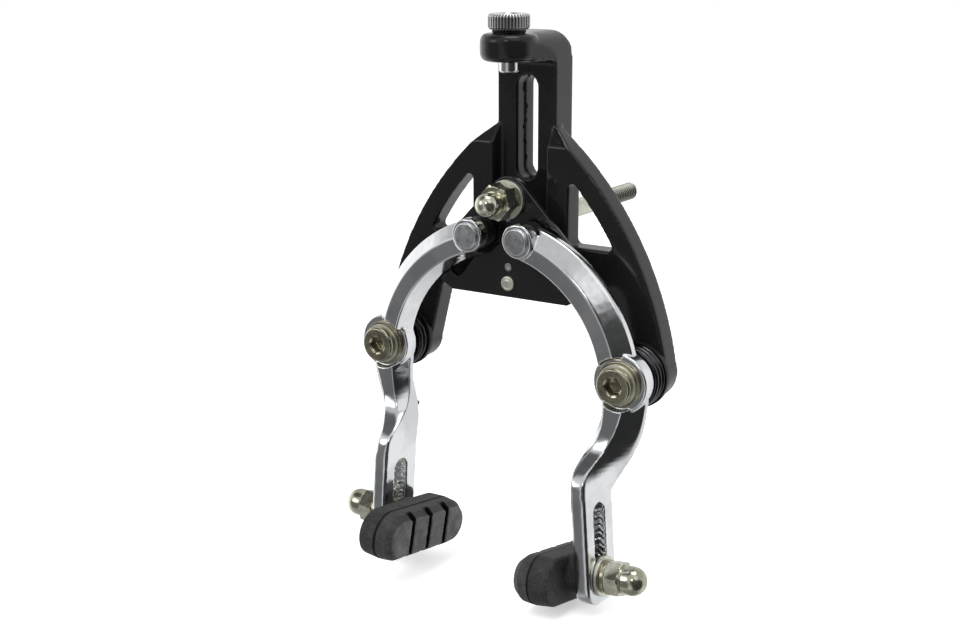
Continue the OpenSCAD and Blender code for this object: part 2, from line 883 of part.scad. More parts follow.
// Lower arm from the pivot to the strap: a solid through all its sections
module lower_arm() {
    rows = len(lower_sections);
    corners = 6;
    polyhedron(
        points = [for (row = lower_sections) each section_points(row)],
        faces = [
            [for (k = [0:corners - 1]) k],
            for (i = [0:rows - 2], k = [0:corners - 1])
                let (n = (k + 1) % corners, low = i * corners, high = low + corners)
                each [
                    [low + n, low + k, high + k],
                    [low + n, high + k, high + n]
                ],
            [for (k = [corners - 1:-1:0]) (rows - 1) * corners + k]
        ],
        convexity = 6
    );
}

// Flat strap with its two lower corners rounded
module strap() {
    top = stud_z - pivot_z - 34;
    strap_frame()
        cross_slab(-strap_t / 2, strap_t / 2)
            polygon(rounded([
                [strap_w / 2, top, 0],
                [strap_w / 2, -strap_end, 6],
                [-strap_w / 2, -strap_end, 6],
                [-strap_w / 2, top, 0]
            ], 6));
}

// One arm, drawn for the right side
module arm_body() {
    difference() {
        union() {
            upper_arm();
            at_pin(RIGHT)
                disc(end_boss_r, end_boss_front, end_boss_back);
            at_pivot(RIGHT)
                disc(pivot_boss_r, spot_front, pivot_boss_back);
            lower_arm();
            strap();
        }
        at_pin(RIGHT) {
            disc(end_boss_r + face_gap, end_boss_back, plate_back);
            disc(pin_r, end_boss_front - 1, end_boss_back + 1);
        }
        at_pivot(RIGHT) {
            disc(spot_r, arm_ridge - 2, spot_front);
            disc(bush_r + run_fit, arm_ridge - 2, pivot_boss_back + 1);
        }
        strap_frame()
            translate([0, 0, (stud_up + slot_spare - stud_down) / 2])
                cross_slab(-strap_t * 2, strap_t * 2)
                    rotate(90)
                        stadium(stud_up + slot_spare + stud_down, 2 * slot_r);
    }
}

module left_arm() {
    color("#cfd1d4")
        on_side(LEFT)
            arm_body();
}

module right_arm() {
    color("#cfd1d4")
        on_side(RIGHT)
            arm_body();
}

// Shoulder bolt of a pivot, its socket head in front
module pivot_bolt(side) {
    bevel = 0.5;
    head_front = washer_front - pivot_head_h;
    color("#a9a58e")
        at_pivot(side)
            difference() {
                rotate([90, 0, 0])
                    rotate_extrude()
                        polygon([
                            [0, -wing_back],
                            [pivot_r, -wing_back],
                            [pivot_r, -washer_front],
                            [pivot_head_r, -washer_front],
                            [pivot_head_r, -head_front - bevel],
                            [pivot_head_r - bevel, -head_front],
                            [0, -head_front]
                        ]);
                translate([0, head_front + 3.4, 0])
                    rotate([90, 30, 0])
                        hexagon(pivot_key, 4.4);
            }
}

module pivot_washer(side) {
    color("#c0bda9")
        at_pivot(side)
            difference() {
                disc(pivot_washer_r, washer_front, bush_flange_front);
                disc(pivot_r + run_fit, washer_front - 1, bush_flange_front + 1);
            }
}

// Flanged bush that the arm turns on
module pivot_bush(side) {
    color("#8e8d86")
        at_pivot(side)
            difference() {
                union() {
                    disc(bush_flange_r, bush_flange_front, bush_flange_front + bush_flange_t);
                    disc(bush_r, bush_flange_front, cup_front);
                }
                disc(pivot_r + run_fit, bush_flange_front - 1, cup_front + 1);
            }
}

// Shallow cup behind a spring, with a lip round the coils
module spring_cup(side) {
    lip_r = spring_r + wire_r + 0.1;
    color("#1d1d1e")
        at_pivot(side)
            difference() {
                disc(lip_r + 0.4, cup_front - cup_lip, wing_front);
                disc(lip_r, cup_front - cup_lip - 1, cup_front);
                disc(pivot_r + run_fit, cup_front - cup_lip - 1, wing_front + 1);
            }
}

// Wire path of the right spring: rear tail, coils, then a straight leg down to the arm's back
spring_front = pivot_boss_back + wire_r + 0.15;
spring_back = cup_front - wire_r - 0.05;
leg_end = [-6.2, spring_front, -20];
leg_turn = 360 - acos(spring_r / norm([leg_end[0], leg_end[2]]))
    + atan2(leg_end[2], leg_end[0]);
leg_start = [spring_r * cos(leg_turn), spring_front, spring_r * sin(leg_turn)];
coil_steps = round(spring_turns * 22);
spring_path = [
    leg_end + [2.2, 0, -0.6],
    leg_end,
    leg_start * 0.5 + leg_end * 0.5,
    for (i = [0:coil_steps])
        let (
            t = i / coil_steps,
            turn = leg_turn - 360 * spring_turns * t
        )
        [
            spring_r * cos(turn),
            spring_front + (spring_back - spring_front) * t,
            spring_r * sin(turn)
        ]
];

// Unit direction of a path at point i
function path_way(path, i) =
    let (
        a = path[max(i - 1, 0)],
        b = path[min(i + 1, len(path) - 1)]
    )
    (b - a) / norm(b - a);

// Tube of round section swept along a path that never runs along Y
module wire(path, r, sides = 8) {
    rings = [for (i = [0:len(path) - 1])
        let (
            way = path_way(path, i),
            across = cross(way, [0, 1, 0]),
            u = across / norm(across),
            v = cross(way, u)
        )
        for (k = [0:sides - 1])
            path[i] + r * (cos(360 * k / sides) * u + sin(360 * k / sides) * v)];
    last = len(path) - 1;
    polyhedron(
        points = rings,
        faces = [
            [for (k = [0:sides - 1]) k],
            for (i = [0:last - 1], k = [0:sides - 1])
                let (n = (k + 1) % sides)
                each [
                    [i * sides + k, (i + 1) * sides + k, (i + 1) * sides + n],
                    [i * sides + k, (i + 1) * sides + n, i * sides + n]
                ],
            [for (k = [sides - 1:-1:0]) last * sides + k]
        ],
        convexity = 6
    );
}

module spring(side) {
    color("#2b2b2d")
        on_side(side)
            at_pivot(RIGHT)
                wire(spring_path, wire_r);
}

// Pin riveted into the arm's end, with a polished head in front and a closing head behind the plate
module roller_pin(side) {
    tail_front = plate_back + face_gap;
    tail_r = cam_w / 2 + 0.6;
    tail_h = 1.1;
    head_edge = 0.4;
    color("#c8cacd")
        at_pin(side)
            rotate([90, 0, 0])
                rotate_extrude()
                    polygon([
                        [0, -tail_front - tail_h],
                        [tail_r, -tail_front - tail_h],
                        [tail_r, -tail_front],
                        [pin_r, -tail_front],
                        [pin_r, -end_boss_front],
                        [pin_head_r, -end_boss_front],
                        [pin_head_r, -end_boss_front + pin_head_h - head_edge],
                        [pin_head_r - head_edge, -end_boss_front + pin_head_h],
                        [0, -end_boss_front + pin_head_h]
                    ]);
}

// Roller on the end pin: a broad front part and a narrow hub that runs in the cam slot
module roller(side) {
    color("#0d0d0e")
        at_pin(side)
            difference() {
                union() {
                    disc(roller_r, roller_front, roller_back);
                    disc(hub_r, roller_front, plate_back + slide_gap);
                }
                disc(pin_r + run_fit, roller_front - 1, plate_back + 1);
            }
}

// Half section of a pad as [place along X, distance from the pad's middle line]
function pad_profile(back, lip, tread) = [
    [back, 0],
    [back, pad_h / 2 - pad_draft - 0.6],
    [back - 0.6, pad_h / 2 - pad_draft],
    [lip + 0.3, pad_h / 2],
    [lip, pad_h / 2 - pad_lip],
    [lip - 0.3, pad_h / 2 - 0.1],
    [tread + pad_bevel, pad_h / 2 - 0.5],
    [tread, pad_face_h / 2],
    [tread, 0]
];

// Round-ended bar whose half section is revolved at both ends and extruded between them
module round_bar(profile, length, height) {
    middle = length - height;
    for (end = [-1, 1])
        translate([0, end * middle / 2, 0])
            rotate([0, 90, 0])
                rotate_extrude()
                    polygon([for (p = profile) [p[1], p[0]]]);
    rotate([90, 0, 0])
        linear_extrude(middle, center = true)
            polygon([
                each profile,
                for (i = [len(profile) - 2:-1:1]) [profile[i][0], -profile[i][1]]
            ]);
}

// One pad in its strap's frame, facing the rim with its tread
module pad_body(side) {
    back = -strap_t / 2 - face_gap;
    base_back = back - pad_boss_t;
    lip = base_back - pad_base_t;
    tread = lip - pad_tread_t;
    tilt = side == LEFT ? left_tilt : right_tilt;
    shift = side == LEFT ? -left_shift : right_shift;
    rise = side == LEFT ? left_rise : right_rise;
    difference() {
        union() {
            translate([back, 0, 0])
                rotate([0, -90, 0])
                    cylinder(r1 = pad_boss_r, r2 = pad_boss_r + 0.8, h = pad_boss_t + eps);
            rotate([-tilt, 0, 0])
                translate([0, shift, -rise])
                    round_bar(pad_profile(base_back, lip, tread), pad_len, pad_h);
        }
        rotate([0, -90, 0])
            translate([0, 0, -back - 1])
                cylinder(r = stud_r + run_fit, h = pad_boss_t + pad_base_t + 1);
        rotate([-tilt, 0, 0])
            translate([tread - 1, shift, 0])
                for (i = [0:groove_count - 1])
                    translate([0, (i - (groove_count - 1) / 2) * groove_pitch - groove_w / 2, -pad_h])
                        cube([groove_d + 1, groove_w, 2 * pad_h]);
    }
}

module pad(side) {
    color("#2a2a2b")
        at_stud(side)
            pad_body(side);
}

module pad_stud(side) {
    root = -strap_t / 2 - face_gap - pad_boss_t - pad_base_t + eps;
    tip = strap_t / 2 + slide_gap + pad_washer_t + lock_washer_t + nut_hex_h;
    color("#c4c1ae")
        at_stud(side)
                translate([root, 0, 0])
                    rotate([0, 90, 0])
                        cylinder(r = stud_r, h = tip - root);
}

module pad_washer(side) {
    color("#c9c6b4")
        at_stud(side)
                translate([strap_t / 2 + slide_gap, 0, 0])
                    rotate([0, 90, 0])
                        difference() {
                            cylinder(r = pad_washer_r, h = pad_washer_t);
                            translate([0, 0, -1])
                                cylinder(r = stud_r + run_fit, h = pad_washer_t + 2);
                        }
}

// Lock washer, split at one place
module lock_washer(side) {
    split = 0.7;
    color("#b5b2a0")
        at_stud(side)
                translate([strap_t / 2 + slide_gap + pad_washer_t, 0, 0])
                    rotate([0, 90, 0])
                        difference() {
                            cylinder(r = lock_washer_r, h = lock_washer_t);
                            translate([0, 0, -1])
                                cylinder(r = stud_r + run_fit, h = lock_washer_t + 2);
                            translate([0, -split / 2, -1])
                                cube([2 * lock_washer_r, split, lock_washer_t + 2]);
                        }
}

module pad_nut(side) {
    color("#d0ccb6")
        at_stud(side)
                translate([strap_t / 2 + slide_gap + pad_washer_t + lock_washer_t, 0, 0])
                    rotate([0, 90, 0])
                        rotate([0, 0, 14])
                            dome_nut(pad_nut_h, nut_hex_h, dome_r, stud_r + run_fit);
}

frame_casting();
mounting_bolt();
barrel_adjuster();
adjuster_ring();
lift_plate();
plate_guide();
plate_rivet();
anchor_bolt();
anchor_washer();
anchor_nut();
left_arm();
right_arm();
pivot_bolt(LEFT);  // left_pivot_bolt
pivot_bolt(RIGHT);  // right_pivot_bolt
pivot_washer(LEFT);  // left_pivot_washer
pivot_washer(RIGHT);  // right_pivot_washer
pivot_bush(LEFT);  // left_pivot_bush
pivot_bush(RIGHT);  // right_pivot_bush
spring(LEFT);  // left_spring
spring(RIGHT);  // right_spring
spring_cup(LEFT);  // left_spring_cup
spring_cup(RIGHT);  // right_spring_cup
roller_pin(LEFT);  // left_roller_pin
roller_pin(RIGHT);  // right_roller_pin
roller(LEFT);  // left_roller
roller(RIGHT);  // right_roller
pad(LEFT);  // left_pad
pad(RIGHT);  // right_pad
pad_stud(LEFT);  // left_pad_stud
pad_stud(RIGHT);  // right_pad_stud
pad_washer(LEFT);  // left_pad_washer
pad_washer(RIGHT);  // right_pad_washer
lock_washer(LEFT);  // left_lock_washer
lock_washer(RIGHT);  // right_lock_washer
pad_nut(LEFT);  // left_pad_nut
pad_nut(RIGHT);  // right_pad_nut
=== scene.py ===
"""Looks of a centre-pull rim brake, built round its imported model.

All lengths are metres in the model's own frame: the mounting bolt's axis meets the fork at the
origin, +X is to the right seen from the front, +Y runs to the rear and +Z runs up.
"""

import json
import logging
import math
from contextlib import contextmanager
from dataclasses import dataclass, field
from enum import Enum
from typing import Any, Iterator

import bmesh
import bpy
import numpy as np
from mathutils import Matrix, Vector

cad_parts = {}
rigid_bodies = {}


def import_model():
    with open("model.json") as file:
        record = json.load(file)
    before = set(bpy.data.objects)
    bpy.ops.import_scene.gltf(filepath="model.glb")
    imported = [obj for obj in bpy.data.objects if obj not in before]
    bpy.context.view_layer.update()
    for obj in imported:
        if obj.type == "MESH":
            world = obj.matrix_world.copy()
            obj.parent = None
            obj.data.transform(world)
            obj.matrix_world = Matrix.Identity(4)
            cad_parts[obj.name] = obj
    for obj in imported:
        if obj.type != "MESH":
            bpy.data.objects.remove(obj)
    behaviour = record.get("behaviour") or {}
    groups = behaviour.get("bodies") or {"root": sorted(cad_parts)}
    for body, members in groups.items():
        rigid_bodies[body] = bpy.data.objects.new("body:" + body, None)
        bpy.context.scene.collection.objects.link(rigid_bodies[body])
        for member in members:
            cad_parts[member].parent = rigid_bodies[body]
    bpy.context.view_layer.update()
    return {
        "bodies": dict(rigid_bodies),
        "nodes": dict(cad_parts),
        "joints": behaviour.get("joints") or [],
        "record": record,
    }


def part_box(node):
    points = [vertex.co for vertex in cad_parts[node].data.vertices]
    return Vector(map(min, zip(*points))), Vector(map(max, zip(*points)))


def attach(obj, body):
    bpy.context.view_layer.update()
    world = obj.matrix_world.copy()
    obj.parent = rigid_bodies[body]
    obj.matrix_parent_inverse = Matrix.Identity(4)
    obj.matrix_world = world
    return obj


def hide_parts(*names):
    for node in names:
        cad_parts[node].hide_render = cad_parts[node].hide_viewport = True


MM = 0.001
FULL_TURN = 2 * math.pi
LOG = logging.getLogger("brake")


class Side(Enum):
    """The two halves of the brake, with the sign of their sideways direction."""

    LEFT = -1
    RIGHT = 1

    @property
    def word(self) -> str:
        """Name of the side as the nodes spell it."""
        return self.name.lower()


class Slot(Enum):
    """Material slots of the record."""

    CASTING = "black_paint"
    PLATE = "plate_black"
    ALLOY = "polished_alloy"
    BRIGHT = "bright_plate"
    TURNED = "bright_steel"
    ZINC = "zinc_steel"
    AGED = "aged_zinc"
    WIRE = "spring_wire"
    CUP = "cup_black"
    ROLLER = "roller_black"
    PAD = "pad_rubber"
    RING = "ring_rubber"


def placed(name: str, data: Any) -> bpy.types.Object:
    """New object of the scene that shows this data."""
    obj = bpy.data.objects.new(name, data)
    bpy.context.scene.collection.objects.link(obj)
    return obj


@contextmanager
def edited(mesh: bpy.types.Mesh) -> Iterator[bmesh.types.BMesh]:
    """Opens a mesh for editing and writes it back afterwards."""
    work = bmesh.new()
    work.from_mesh(mesh)
    yield work
    work.to_mesh(mesh)
    work.free()


class Graph:
    """A material's or world's node graph, with short calls for the nodes that are used here."""

    def __init__(self, owner: Any) -> None:
        """Starts with an empty graph.

        Args:
            owner: A material or a world.
        """
        owner.use_nodes = True
        self.tree = owner.node_tree
        self.tree.nodes.clear()

    def add(self, kind: str, inputs: dict | None = None, **settings: Any) -> Any:
        """Adds a node.

        Args:
            kind: The node's type name.
            inputs: Socket name or number to a value or to another node's socket.
            **settings: Attributes of the node itself.

        Returns:
            The new node.
        """
        node = self.tree.nodes.new(kind)
        for key, value in settings.items():
            setattr(node, key, value)
        for key, value in (inputs or {}).items():
            if isinstance(value, bpy.types.NodeSocket):
                self.tree.links.new(value, node.inputs[key])
            else:
                node.inputs[key].default_value = value
        return node

    def place(self, scale: tuple = (1, 1, 1), turn: tuple = (0, 0, 0)) -> Any:
        """Object coordinates, stretched and turned.

        Args:
            scale: Stretch along each axis.
            turn: Euler turn in radians.

        Returns:
            The vector socket.
        """
        source = self.add("ShaderNodeTexCoord").outputs["Object"]
        kit = {"Vector": source, "Scale": scale, "Rotation": turn}
        return self.add("ShaderNodeMapping", kit).outputs[0]

    def noise(self, scale: float, detail: float = 3, rough: float = 0.5, where: Any = None) -> Any:
        """Noise value on object coordinates, scale being features per metre."""
        where = where or self.place()
        kit = {"Vector": where, "Scale": scale, "Detail": detail, "Roughness": rough}
        return self.add("ShaderNodeTexNoise", kit).outputs["Fac"]

    def remap(self, value: Any, low: float, high: float, to_low: float, to_high: float) -> Any:
        """Value moved smoothly from one range to another."""
        span = {"From Min": low, "From Max": high, "To Min": to_low, "To Max": to_high}
        kit = {"Value": value, **span}
        return self.add("ShaderNodeMapRange", kit, interpolation_type="SMOOTHSTEP").outputs[0]

    def math(self, kind: str, a: Any, b: Any = 0.0) -> Any:
        """One arithmetic step on two values."""
        return self.add("ShaderNodeMath", {0: a, 1: b}, operation=kind).outputs[0]

    def lerp(self, share: Any, first: Any, second: Any) -> Any:
        """Mix of two values by a share."""
        kit = {0: share, 1: self.math("SUBTRACT", second, first), 2: first}
        return self.add("ShaderNodeMath", kit, operation="MULTIPLY_ADD").outputs[0]

    def blend(self, share: Any, first: Any, second: Any) -> Any:
        """Mix of two colours by a share."""
        node = self.add("ShaderNodeMix", data_type="RGBA")
        for index, value in ((0, share), (6, first), (7, second)):
            if isinstance(value, bpy.types.NodeSocket):
                self.tree.links.new(value, node.inputs[index])
            else:
                node.inputs[index].default_value = value if index == 0 else (*value, 1)
        return node.outputs[2]

    def bump(self, height: Any, strength: float, distance: float, under: Any = None) -> Any:
        """Bump normal from a height value."""
        kit = {"Height": height, "Strength": strength, "Distance": distance}
        if under is not None:
            kit["Normal"] = under
        return self.add("ShaderNodeBump", kit).outputs[0]

    def surface(self, inputs: dict) -> None:
        """Ends the graph in one principled surface."""
        shader = self.add("ShaderNodeBsdfPrincipled", inputs)
        self.add("ShaderNodeOutputMaterial", {0: shader.outputs[0]})


@dataclass(frozen=True)
class Paint:
    """Sprayed black finish over a casting or a pressing."""

    name: str
    dark: tuple = (0.006, 0.006, 0.0065)
    light: tuple = (0.011, 0.011, 0.0115)
    roughness: float = 0.26
    spread: float = 0.06
    peel: float = 0.10
    gloss: float = 0.10
    coat: float = 0.5
    coat_roughness: float = 0.07
    coat_ior: float = 1.5

    def build(self) -> bpy.types.Material:
        """Makes the material: mottled black, orange-peel bumps and a soft coat."""
        mat = bpy.data.materials.new(self.name)
        g = Graph(mat)
        cloud = g.noise(55, 5, 0.6)
        grain = g.noise(2600, 2, 0.5)
        peel = g.noise(620, 3, 0.5)
        rough = g.remap(cloud, 0.3, 0.7, self.roughness - self.spread, self.roughness + self.spread)
        normal = g.bump(peel, self.peel, 0.3 * MM, g.bump(grain, self.peel, 0.06 * MM))
        g.surface({
            "Base Color": g.blend(cloud, self.dark, self.light),
            "Roughness": rough,
            "Specular IOR Level": self.gloss,
            "Coat Weight": self.coat,
            "Coat Roughness": self.coat_roughness,
            "Coat IOR": self.coat_ior,
            "Normal": normal,
        })
        return mat


@dataclass(frozen=True)
class Metal:
    """Bare or plated metal whose tint drifts between two colours."""

    name: str
    dark: tuple
    light: tuple
    roughness: float
    spread: float = 0.05
    drift: float = 90.0
    wave: float = 0.05
    grain: float = 0.04
    grain_scale: tuple = (900, 900, 900)
    # Colour of the painted shade in thread roots and knurl grooves
    grime: tuple = (0.02, 0.02, 0.016)
    metallic: float = 1.0

    def build(self) -> bpy.types.Material:
        """Makes the material: drifting tint, painted shade in cavities, uneven polish, waves and
        grain.
        """
        mat = bpy.data.materials.new(self.name)
        g = Graph(mat)
        cloud = g.noise(self.drift, 4, 0.55)
        smear = g.noise(self.drift * 3.1, 3, 0.6)
        grain = g.noise(1, 3, 0.6, g.place(scale=self.grain_scale))
        rough = g.remap(smear, 0.3, 0.7, self.roughness - self.spread, self.roughness + self.spread)
        slow = g.bump(g.noise(150, 2, 0.4), self.wave, 0.5 * MM)
        normal = g.bump(grain, self.grain, 0.05 * MM, slow)
        # The cavity mark is painted shade: marked roots and grooves are darkened towards the shade
        # colour
        cavity = g.add("ShaderNodeAttribute", attribute_name="cavity").outputs["Fac"]
        tint = g.blend(g.remap(cloud, 0.35, 0.65, 0, 1), self.dark, self.light)
        g.surface({
            "Base Color": g.blend(cavity, tint, self.grime),
            "Metallic": self.metallic,
            "Roughness": rough,
            "Normal": normal,
        })
        return mat


@dataclass(frozen=True)
class Rubber:
    """Moulded rubber, paler and mottled where its surface was cut or worn."""

    name: str
    skin: tuple = (0.008, 0.008, 0.0085)
    worn: tuple = (0.13, 0.127, 0.127)
    groove: tuple = (0.002, 0.002, 0.002)
    roughness: float = 0.55
    gloss: float = 0.24

    def build(self) -> bpy.types.Material:
        """Makes the material from the mesh's wear and shade attributes."""
        mat = bpy.data.materials.new(self.name)
        g = Graph(mat)
        wear = g.add("ShaderNodeAttribute", attribute_name="wear").outputs["Fac"]
        shade = g.add("ShaderNodeAttribute", attribute_name="shade").outputs["Fac"]
        cloud = g.noise(240, 6, 0.65)
        speck = g.noise(1500, 3, 0.6)
        share = g.math("MULTIPLY", wear, g.remap(cloud, 0.3, 0.7, 0.35, 1.0))
        colour = g.blend(share, self.skin, self.worn)
        colour = g.blend(g.remap(speck, 0.45, 0.8, 0.0, 0.25), colour, self.worn)
        colour = g.blend(shade, colour, self.groove)
        normal = g.bump(speck, 0.25, 0.08 * MM, g.bump(cloud, 0.3, 0.25 * MM))
        g.surface({
            "Base Color": colour,
            "Specular IOR Level": self.gloss,
            "Roughness": g.remap(cloud, 0.2, 0.8, self.roughness - 0.1, self.roughness + 0.14),
            "Normal": normal,
        })
        return mat


FINISHES: dict[Slot, Any] = {
    Slot.CASTING: Paint("casting_paint"),
    Slot.PLATE: Paint("plate_coating", (0.003, 0.003, 0.0033), (0.006, 0.006, 0.0063), 0.36, peel=0.14,
                      gloss=0.1, coat=0.7, coat_roughness=0.1, coat_ior=1.8),
    Slot.ALLOY: Metal("polished_alloy", (0.66, 0.68, 0.70), (0.84, 0.85, 0.87), 0.13, 0.05, 60,
                      0.16, 0.05),
    Slot.BRIGHT: Metal("bright_plating", (0.70, 0.70, 0.71), (0.84, 0.84, 0.85), 0.12, 0.04, 80,
                       0.03, 0.02),
    Slot.TURNED: Metal("turned_steel", (0.62, 0.63, 0.65), (0.82, 0.83, 0.85), 0.30, 0.08, 200,
                       0.06, 0.08),
    Slot.ZINC: Metal("zinc_plate", (0.42, 0.415, 0.32), (0.66, 0.65, 0.54), 0.14, 0.05, 170,
                     0.05, 0.03, metallic=0.97),
    Slot.AGED: Metal("aged_zinc_plate", (0.32, 0.30, 0.22), (0.50, 0.47, 0.35), 0.20, 0.06, 200,
                     0.08, 0.08, metallic=0.97),
    Slot.WIRE: Metal("spring_wire", (0.04, 0.04, 0.042), (0.09, 0.09, 0.095), 0.24, 0.06, 200,
                     0.04, 0.04),
    Slot.CUP: Paint("cup_coating", roughness=0.34, peel=0.08, coat=0.2),
    Slot.ROLLER: Paint("roller_skin", roughness=0.22, peel=0.02, coat=0.4, coat_roughness=0.08),
    Slot.PAD: Rubber("pad_rubber"),
    Slot.RING: Paint("ring_rubber", roughness=0.5, peel=0.1, gloss=0.15, coat=0.0),
}


# Rougher and paler zinc of the washers, the rivet and the mounting bolt
SATIN = Metal("satin_zinc", (0.60, 0.60, 0.52), (0.76, 0.76, 0.67), 0.40, 0.06, 200, 0.05, 0.12)


class Shop:
    """Holds the finished materials and the frame, and turns surfaces into pieces of the brake."""

    def __init__(self, frame: dict) -> None:
        """Builds every finish once.
        """
        self.nodes = frame["nodes"]
        self.finish = {slot: finish.build() for slot, finish in FINISHES.items()}
        SATIN.build()

    def box(self, node: str) -> tuple[np.ndarray, np.ndarray]:
        """Lowest and highest corner of a node as arrays."""
        low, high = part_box(node)
        return np.array(low), np.array(high)

    def dress(self, node: str, slot: Slot) -> None:
        """Gives a carried node its finish and leaves its mesh alone."""
        mesh = self.nodes[node].data
        mesh.materials.clear()
        mesh.materials.append(self.finish[slot])
        LOG.info("dressed node %s", node)

    def adopt(
        self, mesh: bpy.types.Mesh, name: str, slot: Slot, body: str, *nodes: str, look: str = ""
    ) -> bpy.types.Object:
        """Makes a piece of a finished mesh.

        Args:
            mesh: The mesh, placed in the model's frame.
            name: The piece's name.
            slot: The record's material slot.
            body: The body that carries the piece.
            *nodes: Nodes that the piece stands for.
            look: Name of a finish that differs from the slot's usual one.

        Returns:
            The piece's object.
        """
        mesh.materials.clear()
        mesh.materials.append(bpy.data.materials[look] if look else self.finish[slot])
        mesh.polygons.foreach_set("use_smooth", np.ones(len(mesh.polygons), bool))
        obj = placed(name, mesh)
        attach(obj, body)
        if nodes:
            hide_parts(*nodes)
        LOG.info("made %s with %d faces on %s", name, len(mesh.polygons), body)
        return obj

    def merged_copy(self, node: str) -> bpy.types.Mesh:
        """Copy of a node's mesh with its doubled points joined."""
        mesh = self.nodes[node].data.copy()
        with edited(mesh) as work:
            bmesh.ops.remove_doubles(work, verts=work.verts, dist=1e-6)
        return mesh


def finished(mesh: bpy.types.Mesh, steps: list[tuple[str, dict]]) -> bpy.types.Mesh:
    """Runs a list of modifiers on a mesh and returns the result as a plain mesh.

    Args:
        mesh: The mesh to work on.
        steps: Modifier type and its settings, in order.

    Returns:
        The new mesh.
    """
    scratch = placed("scratch", mesh)
    for number, (kind, settings) in enumerate(steps):
        modifier = scratch.modifiers.new(f"step_{number}", kind)
        for key, value in settings.items():
            setattr(modifier, key, value)
    graph = bpy.context.evaluated_depsgraph_get()
    result = bpy.data.meshes.new_from_object(scratch.evaluated_get(graph))
    bpy.data.objects.remove(scratch)
    return result


def softened(mesh: bpy.types.Mesh, voxel: float, passes: int) -> bpy.types.Mesh:
    """The same solid with every edge rounded, by an even net of small faces that is then relaxed.

    Args:
        mesh: A closed mesh.
        voxel: Size of one face.
        passes: Number of smoothing passes.

    Returns:
        The rounded mesh.
    """
    return finished(mesh, [
        ("REMESH", {"mode": "VOXEL", "voxel_size": voxel, "adaptivity": 0.0}),
        ("SMOOTH", {"factor": 0.5, "iterations": passes}),
    ])


def cut(mesh: bpy.types.Mesh, cutter: bpy.types.Mesh) -> bpy.types.Mesh:
    """Mesh with the cutter's volume taken away."""
    tool = placed("cutter", cutter)
    settings = {"operation": "DIFFERENCE", "solver": "EXACT", "object": tool}
    result = finished(mesh, [("BOOLEAN", settings)])
    bpy.data.objects.remove(tool)
    return result


def block(low: tuple, high: tuple) -> bpy.types.Mesh:
    """Plain block between two corners."""
    mesh = bpy.data.meshes.new("block")
    size = Vector(high) - Vector(low)
    with edited(mesh) as work:
        bmesh.ops.create_cube(work, size=1)
        bmesh.ops.scale(work, vec=size, verts=work.verts)
        bmesh.ops.translate(work, vec=Vector(low) + size / 2, verts=work.verts)
    return mesh


def joined(*meshes: bpy.types.Mesh) -> bpy.types.Mesh:
    """One mesh that holds all of these."""
    whole = bpy.data.meshes.new("joined")
    with edited(whole) as work:
        for mesh in meshes:
            work.from_mesh(mesh)
    return whole


def net(points: np.ndarray, wrap_rows: bool = False, wrap_columns: bool = True) -> bpy.types.Mesh:
    """Mesh of four-sided faces on a grid of points, doubled points joined.

    Args:
        points: Array of rows by columns by 3.
        wrap_rows: Joins the last row to the first.
        wrap_columns: Joins the last column to the first.

    Returns:
        The mesh.
    """
    rows, columns = points.shape[:2]
    index = np.arange(rows * columns).reshape(rows, columns)
    down = np.roll(index, -1, 0)
    right = np.roll(index, -1, 1)
    corner = np.roll(down, -1, 1)
    quads = np.stack([index, right, corner, down], -1)
    quads = quads[: rows - (not wrap_rows), : columns - (not wrap_columns)]
    mesh = bpy.data.meshes.new("net")
    mesh.from_pydata(points.reshape(-1, 3), [], quads.reshape(-1, 4))
    with edited(mesh) as work:
        bmesh.ops.remove_doubles(work, verts=work.verts, dist=1e-7)
        bmesh.ops.recalc_face_normals(work, faces=work.faces)
    return mesh


@dataclass(frozen=True)
class Axis:
    """Frame of a turned piece: where its height starts and the way it runs."""

    origin: tuple
    way: tuple
    turn: float = 0.0

    def put(self, radius: np.ndarray, angle: np.ndarray, height: np.ndarray) -> np.ndarray:
        """Points at these radii, angles and heights, in the model's frame.

        Each point is the origin, plus the way times its height, plus its radius times the
        direction at its angle in the plane square to the way.
        """
        way = np.array(self.way, float)
        way /= np.linalg.norm(way)
        first = np.cross(way, (0.0, 0.0, 1.0) if abs(way[2]) < 0.9 else (1.0, 0.0, 0.0))
        first /= np.linalg.norm(first)
        second = np.cross(way, first)
        angle = angle + self.turn
        out = radius * np.cos(angle)
        up = radius * np.sin(angle)
        aside = out[..., None] * first + up[..., None] * second
        return np.array(self.origin) + aside + height[..., None] * way


def rounded(corners: list[tuple], radius: float, steps: int = 4) -> np.ndarray:
    """Open outline with its inner corners rounded by short arcs.

    Each corner is replaced by points of a quadratic curve that starts and ends at the radius
    from it, or at under half of the shorter side, and has the corner as its control point.
    """
    p = np.array(corners, float)
    before = p[:-2] - p[1:-1]
    after = p[2:] - p[1:-1]
    size_before = np.linalg.norm(before, axis=1, keepdims=True)
    size_after = np.linalg.norm(after, axis=1, keepdims=True)
    reach = np.minimum(radius, 0.45 * np.minimum(size_before, size_after))
    start = p[1:-1] + before / size_before * reach
    end = p[1:-1] + after / size_after * reach
    t = np.linspace(0, 1, steps + 1)[None, :, None]
    arcs = (1 - t) ** 2 * start[:, None] + 2 * t * (1 - t) * p[1:-1, None] + t**2 * end[:, None]
    return np.vstack([p[:1], arcs.reshape(-1, 2), p[-1:]])


def hex_radius(angle: np.ndarray, flats: float) -> np.ndarray:
    """Distance from the middle to a hexagon's side: half its flats over the cosine of the angle
    from the nearest side's middle."""
    near = np.mod(angle, math.pi / 3) - math.pi / 6
    return flats / 2 / np.cos(near)


